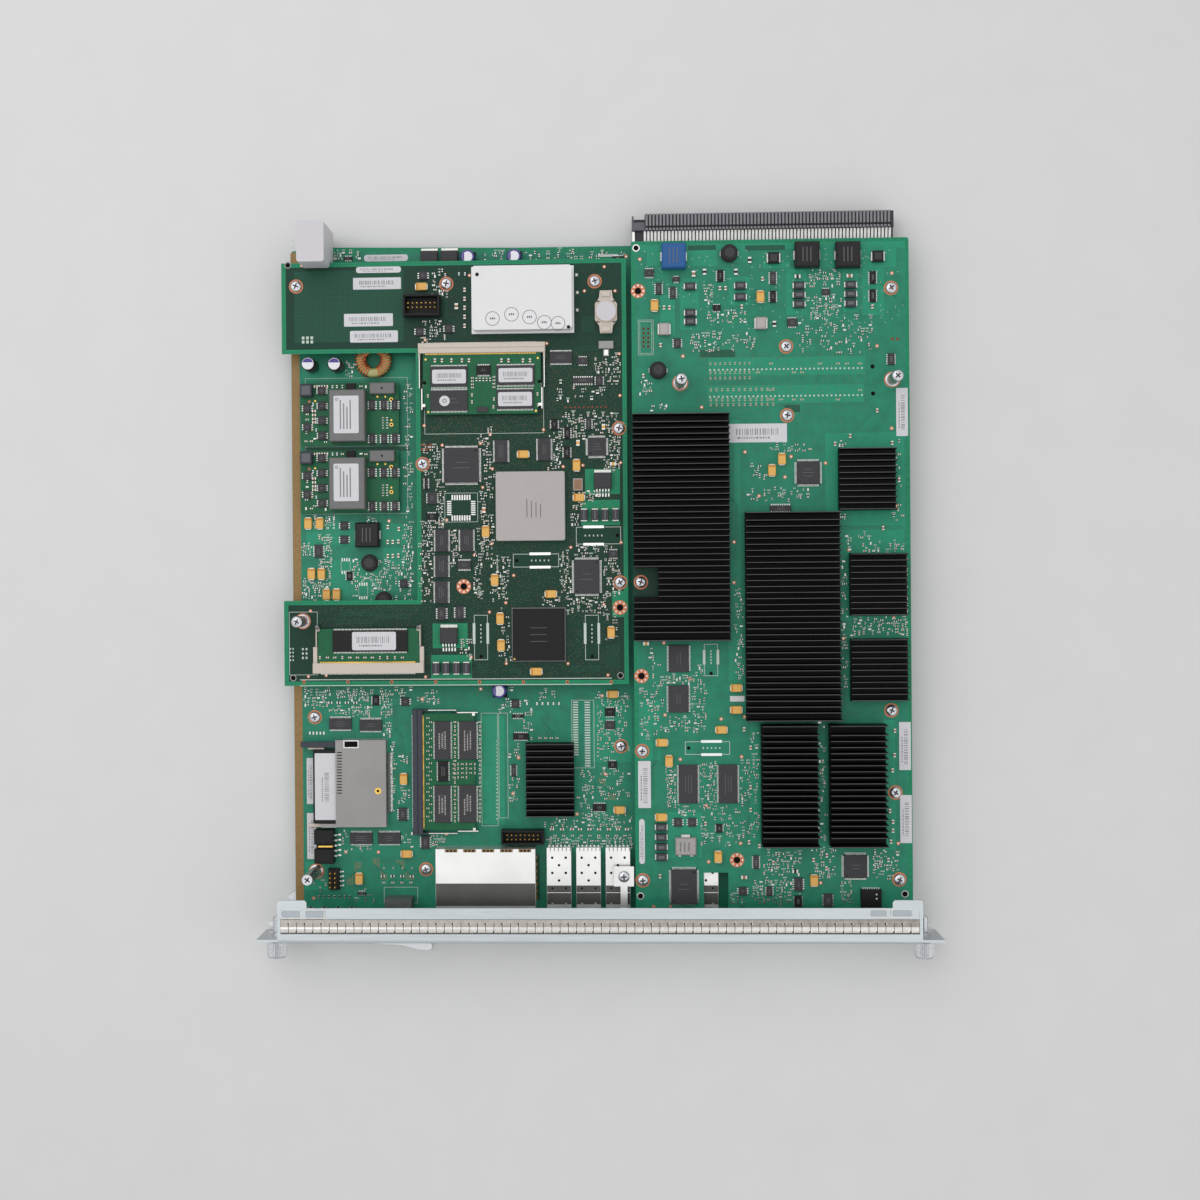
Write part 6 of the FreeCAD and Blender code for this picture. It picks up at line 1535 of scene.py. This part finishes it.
for *spot, count in ((304, 330, 690, 708, 40), (338, 366, 690, 698, 24), (352, 372, 692, 700, 16),
        (352, 372, 706, 716, 20), (380, 392, 690, 716, 26), (326, 360, 708, 716, 14), (392, 412, 690, 700, 8),
        (418, 440, 690, 706, 14), (400, 408, 754, 762, 6), (399, 410, 788, 802, 8), (388, 396, 744, 812, 18),
        (384, 392, 722, 736, 10), (346, 372, 846, 852, 8), (340, 350, 826, 848, 6), (396, 412, 828, 848, 8),
        (500, 512, 690, 712, 10), (524, 532, 700, 740, 14), (508, 520, 742, 808, 18), (596, 630, 694, 740, 50),
        (598, 630, 740, 800, 40), (578, 594, 770, 812, 22), (545, 632, 814, 828, 54), (548, 632, 838, 848, 50),
        (540, 556, 690, 700, 6), (305, 335, 516, 528, 20), (303, 320, 544, 556, 12), (318, 332, 536, 600, 40),
        (352, 380, 556, 600, 40), (302, 322, 580, 600, 24), (380, 413, 560, 600, 54), (404, 413, 384, 520, 40),
        (404, 413, 520, 560, 26), (366, 378, 520, 530, 6), (440, 625, 253, 260, 40), (316, 360, 253, 260, 12),
        (345, 378, 362, 376, 12), (430, 445, 822, 846, 12), (300, 340, 880, 890, 6), (355, 375, 885, 905, 6)):
    b.scatter(spot, count)
for *spot, count in ((304, 630, 690, 905, 1500), (304, 412, 515, 600, 260), (304, 412, 354, 382, 90)):
    b.vias(spot, count)
b.vias((304, 625, 252, 262), 150, "hatch", 0.3)
for *ends, count, skin in ((358, 862, 350, 885, 4, "copper"), (376, 858, 384, 880, 4, "copper"),
        (400, 860, 410, 880, 5, "copper"), (545, 716, 550, 738, 6, "hatch"), (602, 778, 612, 800, 4, "copper"),
        (395, 705, 402, 760, 3, "hatch"), (500, 830, 540, 836, 4, "pour"), (310, 370, 400, 366, 5, "pour")):
    b.bundle(*ends, count, 1.1, skin, 0.16)
b.tag((364, 408, 255, 261), radius=1.6)
b.tag((306.6, 314, 758, 804), True)
b.tag((307, 317, 813, 859), True)
b.pour((598, 618, 254.5, 256.5), "label", LEGEND)
b.test_dots(((518.6, 757.7), (512.9, 793.4), (577.1, 813.9), (605.4, 774.1), (446.4, 833.9), (602.1, 695.7),
    (480.7, 688.9), (422.1, 699.1), (345.9, 852), (378.4, 852), (313.8, 898.2), (389, 521), (626, 256.5)))
b.done("base_detail", "base_green")


# Converters: the small parts on top of them

PER_PIXEL = 0.573
FIRST_CORNER = (300.5, 382.5)


def converter(b, box):
    z = box[5]
    mark = z + 0.05

    def place(px, py):
        """Place on a converter, from its rear left corner, in photo pixels of the first one."""
        return box[0] + (px - FIRST_CORNER[0]) * PER_PIXEL, box[3] - (py - FIRST_CORNER[1]) * PER_PIXEL

    for px in (316.5, 321.5, 327):
        passive(b, *place(px, 385.7), z, SIZES["big"], True, "ceramic")
    for px, py in ((333.5, 386), (338, 386), (313.5, 403.5), (316.5, 429.5)):
        passive(b, *place(px, py), z, SIZES["small"], False, "ceramic_blue")
    for py in (410.5, 414.5, 418.5, 422):
        passive(b, *place(314.5, py), z, SIZES["big"], True, "ceramic")
    b.block(*place(352.3, 387), z, 5.4, 4.4, 1.6, "chip_dark", 0.2)
    for px, py in ((379, 396.6), (387, 396.6), (311.5, 430), (332.5, 428), (315.5, 400.2), (393, 420.5)):
        b.disc(*place(px, py), mark, 0.55, 16, "gold")
    for px, py in ((393, 399.5), (393, 425)):
        b.ring(*place(px, py), mark, 0.6, 1.1, 20, "gold")
        b.disc(*place(px, py), mark, 0.6, 20, "hole")
    for i in range(2):
        for j in range(5):
            skin = "silk" if i else "resistor"
            passive(b, *place(384.6 + 4.2 * i, 418 + 2.6 * j), z, SIZES["tiny"], True, skin)
    for px, py in ((306, 405), (307.3, 410), (307.5, 413.7), (307.3, 419), (307, 426.5), (306.5, 432),
            (306, 441), (311.5, 441), (315, 438.5), (325.5, 438), (326, 442), (362.5, 386), (367.5, 386.5),
            (343.5, 386)):
        along_x = rng.random() < 0.5
        passive(b, *place(px, py), z, SIZES["small"], along_x, rng.choice(("ceramic", "resistor", "solder")))
    for px, py in ((309.5, 400.7), (308, 427)):
        b.ring(*place(px, py), mark, 0.3, 0.8, 14, "copper")


b = Build()
for box in islands("converter_boards"):
    converter(b, box)
b.done("converter_parts", "module_green")


# Cages, card slots, power box and flash socket: marks, openings and painted shade on the sheet

SHADE, SPOT, STRIP, DOT = 0.05, 0.06, 0.08, 0.09  # heights of marks over the sheet, each clear of the last
CAGE_COLUMN, CAGE_TOP = 575, 17.0  # a pixel column through the cages, the height of their tops
SHADE_SETBACK = 18.0  # the band of painted shade on the cage tops starts this far behind the panel's face, under its flange
shade_rear = at(CAGE_COLUMN, 885.5, CAGE_TOP)[1]
shade_front = node_box("front_panel")[2] + SHADE_SETBACK
b = Build()
for n in range(1, 5):
    x0, x1, y0, y1, z0, z1 = node_box("transceiver_cage_" + str(n))
    x, half = (x0 + x1) / 2, 3.9
    # painted shade: the front of each cage top is darkened where the flange shades it
    b.flat(x0 + 0.1, x1 - 0.1, shade_front, shade_rear, z1 + SHADE, "cage_dark")
    b.flat(x0 + 0.1, x1 - 0.1, shade_rear - 4.3, shade_rear - 3.9, z1 + STRIP, "cage")
    for dx, py in ((-half, 857.7), (half, 857.7), (0, 865.2), (-half, 872.9), (half, 872.9), (0, 880.5)):
        b.disc(x + dx, at(CAGE_COLUMN, py, z1)[1], z1 + SPOT, 0.75, 16, "hole")
    for dx in (-half, half):
        b.disc(x + dx, shade_rear - 1.6, z1 + DOT, 0.6, 12, "hole")
        b.disc(x + dx, shade_rear - 10.5, z1 + DOT, 0.7, 12, "lead")
    for i in range(6):
        b.block(x0 + 1.2 + 2.3 * i, y1 + 0.35, z0 + 0.6, 0.9, 0.6, 3.4, "cage")
        # painted shade in the narrow gaps between the rear tabs
        b.flat(x0 + 1.9 + 2.3 * i, x0 + 2.3 + 2.3 * i, y1 - 2.0, y1 - 0.1, z1 + SPOT, "cage_dark")
x0, x1, y0, y1, z0, z1 = node_box("card_slot_housing")
# painted shade over the front of the housing's top, under the flange
b.flat(x0 + 0.1, x1 - 0.1, shade_front, at(485, 883.5, z1)[1], z1 + SHADE, "cage_dark")
for i in range(5):
    x, y = x0 + 9.0 + 10.6 * i, y1 - 0.9
    b.block(x, y, z1, 7.2, 1.7, 0.35, "laminate", 0.1)
    for k in (-1, 0, 1):
        b.block(x + 2.1 * k, y, z1 + 0.35, 1.0, 1.2, 0.06, "hole")
for i in range(7):
    b.block(x1 + 0.2, y1 - 6.0 - 3.9 * i, z0 + 3.0, 1.0, 2.2, 5.0, "laminate", 0.2)
z1 = node_box("power_box")[5]
for px, py in ((477, 274.4), (568.5, 327)):
    x, y = at(px, py, z1)
    b.ring(x, y, z1 + SHADE, 0.9, 1.2, 20, "plate")
    b.disc(x, y, z1 + SHADE, 0.9, 16, "hole")
for px, py in ((492.5, 318.5), (511.5, 314.3), (529.5, 317), (544.3, 322.3), (558, 323.3)):
    x, y = at(px, py, z1)
    b.ring(x, y, z1 + SHADE, 3.75, 4.05, 36, "stamp")
    for i in range(3):
        b.flat(x - 1.5 + 1.1 * i, x - 0.8 + 1.1 * i, y - 0.5, y + 0.5 + 0.2 * (i % 2), z1 + SPOT, "stamp")
for px, py in ((576.5, 275), (577.3, 292.5), (577.3, 310)):
    b.block(*at(px, py, UPPER), UPPER, 1.8, 1.8, 1.2, "solder", 0.5)
socket = node_box("flash_socket")
x0, x1, y0, y1, z0, z1 = socket
x, y = at(378, 791, z1)
b.disc(x, y, z1 + SHADE, 1.9, 28, "gold")
b.disc(x, y, z1 + STRIP, 0.8, 20, "hole")
b.flat(*area_at(344.5, 357.5, 741.5, 747, z1), z1 + SHADE, "hole")
b.frame(*area_at(343.5, 358.5, 740.5, 748, z1), z1 + STRIP, 0.4, "cage")
for i in range(15):
    b.patch(*at(339.5, 752.5 + 2.9 * i, z1), z1 + SHADE, 2.8, 0.56, "hole")
b.box(x1 + 0.4, x1 + 1.8, y0 + 8.0, y1 - 8.0, BASE_TOP, BASE_TOP + 1.0, "ferrite_grey", 0.2)
for i in range(46):
    b.box(x1 + 1.8, x1 + 3.0, y0 + 9.0 + 0.74 * i, y0 + 9.4 + 0.74 * i, BASE_TOP, BASE_TOP + 0.3, "lead")
for low, high in ((y0 + 0.1, y0 + 2.2), (-94.0, -92.9)):
    b.box(x0 - 7.6, x0 + 2.0, low, high, BASE_TOP, z1 - 3.0, "ivory", 0.3)
b.done("sheet_marks", "cage_steel")

left = socket[0]
x0, x1, y0, y1, z0, z1 = node_box("flash_card")
b = Build()
label(b, x0 + 1.0, left + 9.0, y0 + 2.0, y1 - 2.0, z1 - 0.02, printed=False)
bars(b, left - 1.0, left + 7.0, y0 + 9.0, y1 - 9.0, z1 + 0.07, True)
b.done("card_label", "white_plastic", body="card")


# Memory sockets, their latches and contacts

def open_socket(b, long, deep, skin):
    """Edge socket with thin sprung arms, lying along X with its mouth towards Y."""
    back, mouth = 2.8, 5.8
    b.box(0, long, 0, back, 0, 5.4, skin, 0.2)
    b.box(0, long, back, mouth, 0, 2.5, skin)
    b.box(0, long, back, mouth, 3.7, 5.3, skin, 0.3)
    for side in (0.3, long - 0.9):
        b.box(side, side + 0.6, mouth, deep, 0.6, 4.2, "spring", 0.1)
        b.box(side - 0.2, side + 0.8, mouth, 9.0, 0, 4.8, skin, 0.2)
    for side in (2.3, long - 3.9):
        b.box(side, side + 1.6, deep - 2.6, deep, 0, 2.3, skin, 0.1)


x0, x1, y0, y1, z0, z1 = node_box("memory_socket_1")
b = Build()
b.pose = lambda p: (x1 - p[0], y1 - p[1], z0 + p[2])
open_socket(b, x1 - x0, y1 - y0, "ivory")
b.done("dressed_socket_1", "ivory_plastic", replaces=["memory_socket_1"])
x0, x1, y0, y1, z0, z1 = node_box("memory_socket_3")
b = Build()
b.pose = lambda p: (x0 + p[1], y1 - p[0], z0 + p[2])
open_socket(b, y1 - y0, x1 - x0, "slate")
b.done("dressed_socket_3", "black_plastic", replaces=["memory_socket_3"])
for side in ("left", "right"):
    x0, x1, y0, y1, z0, z1 = node_box(side + "_latch_2")
    b = Build()
    b.box(x0 + 0.2, x1 - 0.2, y1 - 2.6, y1 - 0.3, z1, z1 + 0.5, "plate", 0.15)
    b.ring((x0 + x1) / 2, y1 - 1.45, z1 + 0.52, 0.35, 0.7, 16, "hole")
    b.done(side + "_latch_clip", "latch_steel", body=side + "_latch_2_body")

for n in (1, 2, 3):
    x0, x1, y0, y1, z0, z1 = node_box("memory_socket_" + str(n))
    b = Build()
    if n == 3:
        for i in range(66):
            y = y0 + 3.5 + i
            b.box(x0 + 5.4, x0 + 6.4, y, y + 0.5, z1 - 1.8, z1 - 1.3, "gold")
            b.box(x0 - 0.9, x0, y, y + 0.5, z0, z0 + 0.4, "lead")
    else:
        foot, tip = ((y1, y1 + 0.9), (y1 - 6.6, y1 - 5.8)) if n == 1 else ((y0 - 0.9, y0), (y0 + 5.8, y0 + 6.6))
        for i in range(int((x1 - x0 - 8) / 0.9)):
            x = x0 + 4.0 + 0.9 * i
            b.box(x, x + 0.45, *foot, z0, z0 + 0.4, "lead")
            b.box(x, x + 0.45, *tip, z1 - 2.2, z1 - 1.4, "gold")
    b.done("socket_contacts_" + str(n), "contact_metal")


# Pressed pads of the flange, with a painted highlight round their rims and painted shade on their tops

b = Build()
flange = node_box("front_panel")[5]
for spot in ((280, 301.5, 909.5, 919), (304, 325, 909.5, 919), (869, 888, 909, 918), (891, 913, 909, 918)):
    x0, x1, y0, y1 = area_at(*spot, flange)
    # painted highlight round the rim of each pad
    rounded_slab(b, x0, x1, y0, y1, flange, flange + 0.22, 1.4, "spring", 0.15)
    # painted shade on the top of each pad
    rounded_slab(b, x0 + 0.6, x1 - 0.6, y0 + 0.7, y1 - 0.5, flange, flange + 0.27, 0.9, "pressed", 0.04)
b.done("flange_dimples", "panel_steel")


# Surfaces of the frame's own nodes

PAINT = {
    "panel": ["front_panel"],
    "lever": ["left_ejector_lever", "right_ejector_lever"],
    "screw": ["lever_pins", "screw_ferrules", "board_spacers"],
    "cage": ["support_bracket", "card_slot_housing"] + ["transceiver_cage_" + str(n) for n in range(1, 5)],
    "carrier": ["carrier_plate"],
    "green": ["base_board", "forwarding_board"],
    "dark_green": ["routing_board"],
    "white": ["guide_block"],
    "enamel": ["power_box"],
    "module": ["converter_boards"],
    "plate": ["flash_socket"],
    "slate": ["flash_eject_bar"],
    "black": ["flash_card", "upper_card_button", "lower_card_button", "reset_button"],
    "jack": ["console_jack"],
    "ivory": ["memory_socket_2", "left_latch_2", "right_latch_2"],
    "spring": [side + "_latch_" + str(n) for side in ("left", "right") for n in (1, 3)],
}
for skin, nodes in PAINT.items():
    for node in nodes:
        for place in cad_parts[node].material_slots:
            place.material = M[skin]


# Floor, light and camera

WHITE = (1, 1, 1, 1)


def plane(name, half, z):
    mesh = bpy.data.meshes.new(name)
    mesh.from_pydata(rect(-half, half, -half, half, z), [], [(0, 1, 2, 3)])
    mesh.materials.append(M["floor"])
    return add(name, mesh)


def fade_floor(start, end):
    """The floor pales to the white of the backdrop with distance from the part."""
    tree = M["floor"].node_tree
    place = add_node(tree, "TexCoord")
    reach = add_node(tree, "VectorMath")
    reach.operation = "LENGTH"
    fade = add_node(tree, "MapRange", {"From Min": start, "From Max": end})
    fade.interpolation_type = "SMOOTHSTEP"
    path = add_node(tree, "LightPath")
    seen = add_node(tree, "Math")
    seen.operation = "MULTIPLY"
    glow = add_node(tree, "Emission", {"Color": WHITE})
    mix = add_node(tree, "MixShader")
    join(tree, place, "Object", reach, 0)
    join(tree, reach, "Value", fade, "Value")
    join(tree, fade, "Result", seen, 0)
    join(tree, path, "Is Camera Ray", seen, 1)
    join(tree, seen, "Value", mix, "Fac")
    join(tree, tree.nodes["Principled BSDF"], "BSDF", mix, 1)
    join(tree, glow, "Emission", mix, 2)
    join(tree, mix, "Shader", tree.nodes["Material Output"], "Surface")


def lamp(name, place, size, power):
    """A square light that looks at the origin."""
    data = bpy.data.lights.new(name, "AREA")
    data.size = size
    data.energy = power
    obj = add(name, data)
    obj.location = place
    obj.rotation_euler = (-Vector(place)).to_track_quat("-Z", "Y").to_euler()
    return obj


def backdrop():
    """White where the camera or a mirror sees it, dimmer as a light."""
    world = bpy.data.worlds.new("studio")
    bpy.context.scene.world = world
    world.use_nodes = True
    tree = world.node_tree
    tree.nodes.clear()
    out = add_node(tree, "OutputWorld")
    seen = add_node(tree, "Background", {"Color": WHITE, "Strength": 1.0})
    lit = add_node(tree, "Background", {"Color": WHITE, "Strength": 0.47})
    path = add_node(tree, "LightPath")
    mix = add_node(tree, "MixShader")
    source, output = path, "Is Camera Ray"
    for ray in ("Is Glossy Ray", "Is Transmission Ray"):
        either = add_node(tree, "Math")
        either.operation = "MAXIMUM"
        join(tree, source, output, either, 0)
        join(tree, path, ray, either, 1)
        source, output = either, "Value"
    join(tree, source, output, mix, "Fac")
    join(tree, lit, "Background", mix, 1)
    join(tree, seen, "Background", mix, 2)
    join(tree, mix, "Shader", out, "Surface")


plane("floor", 30.0, -0.0005)
fade_floor(0.6, 2.4)
lamp("key", (-0.55, 0.55, 1.25), 1.8, 10.0)
lamp("fill", (0.8, -0.5, 1.1), 1.8, 3.6)
backdrop()
camera()
bpy.context.scene.view_settings.view_transform = "Standard"
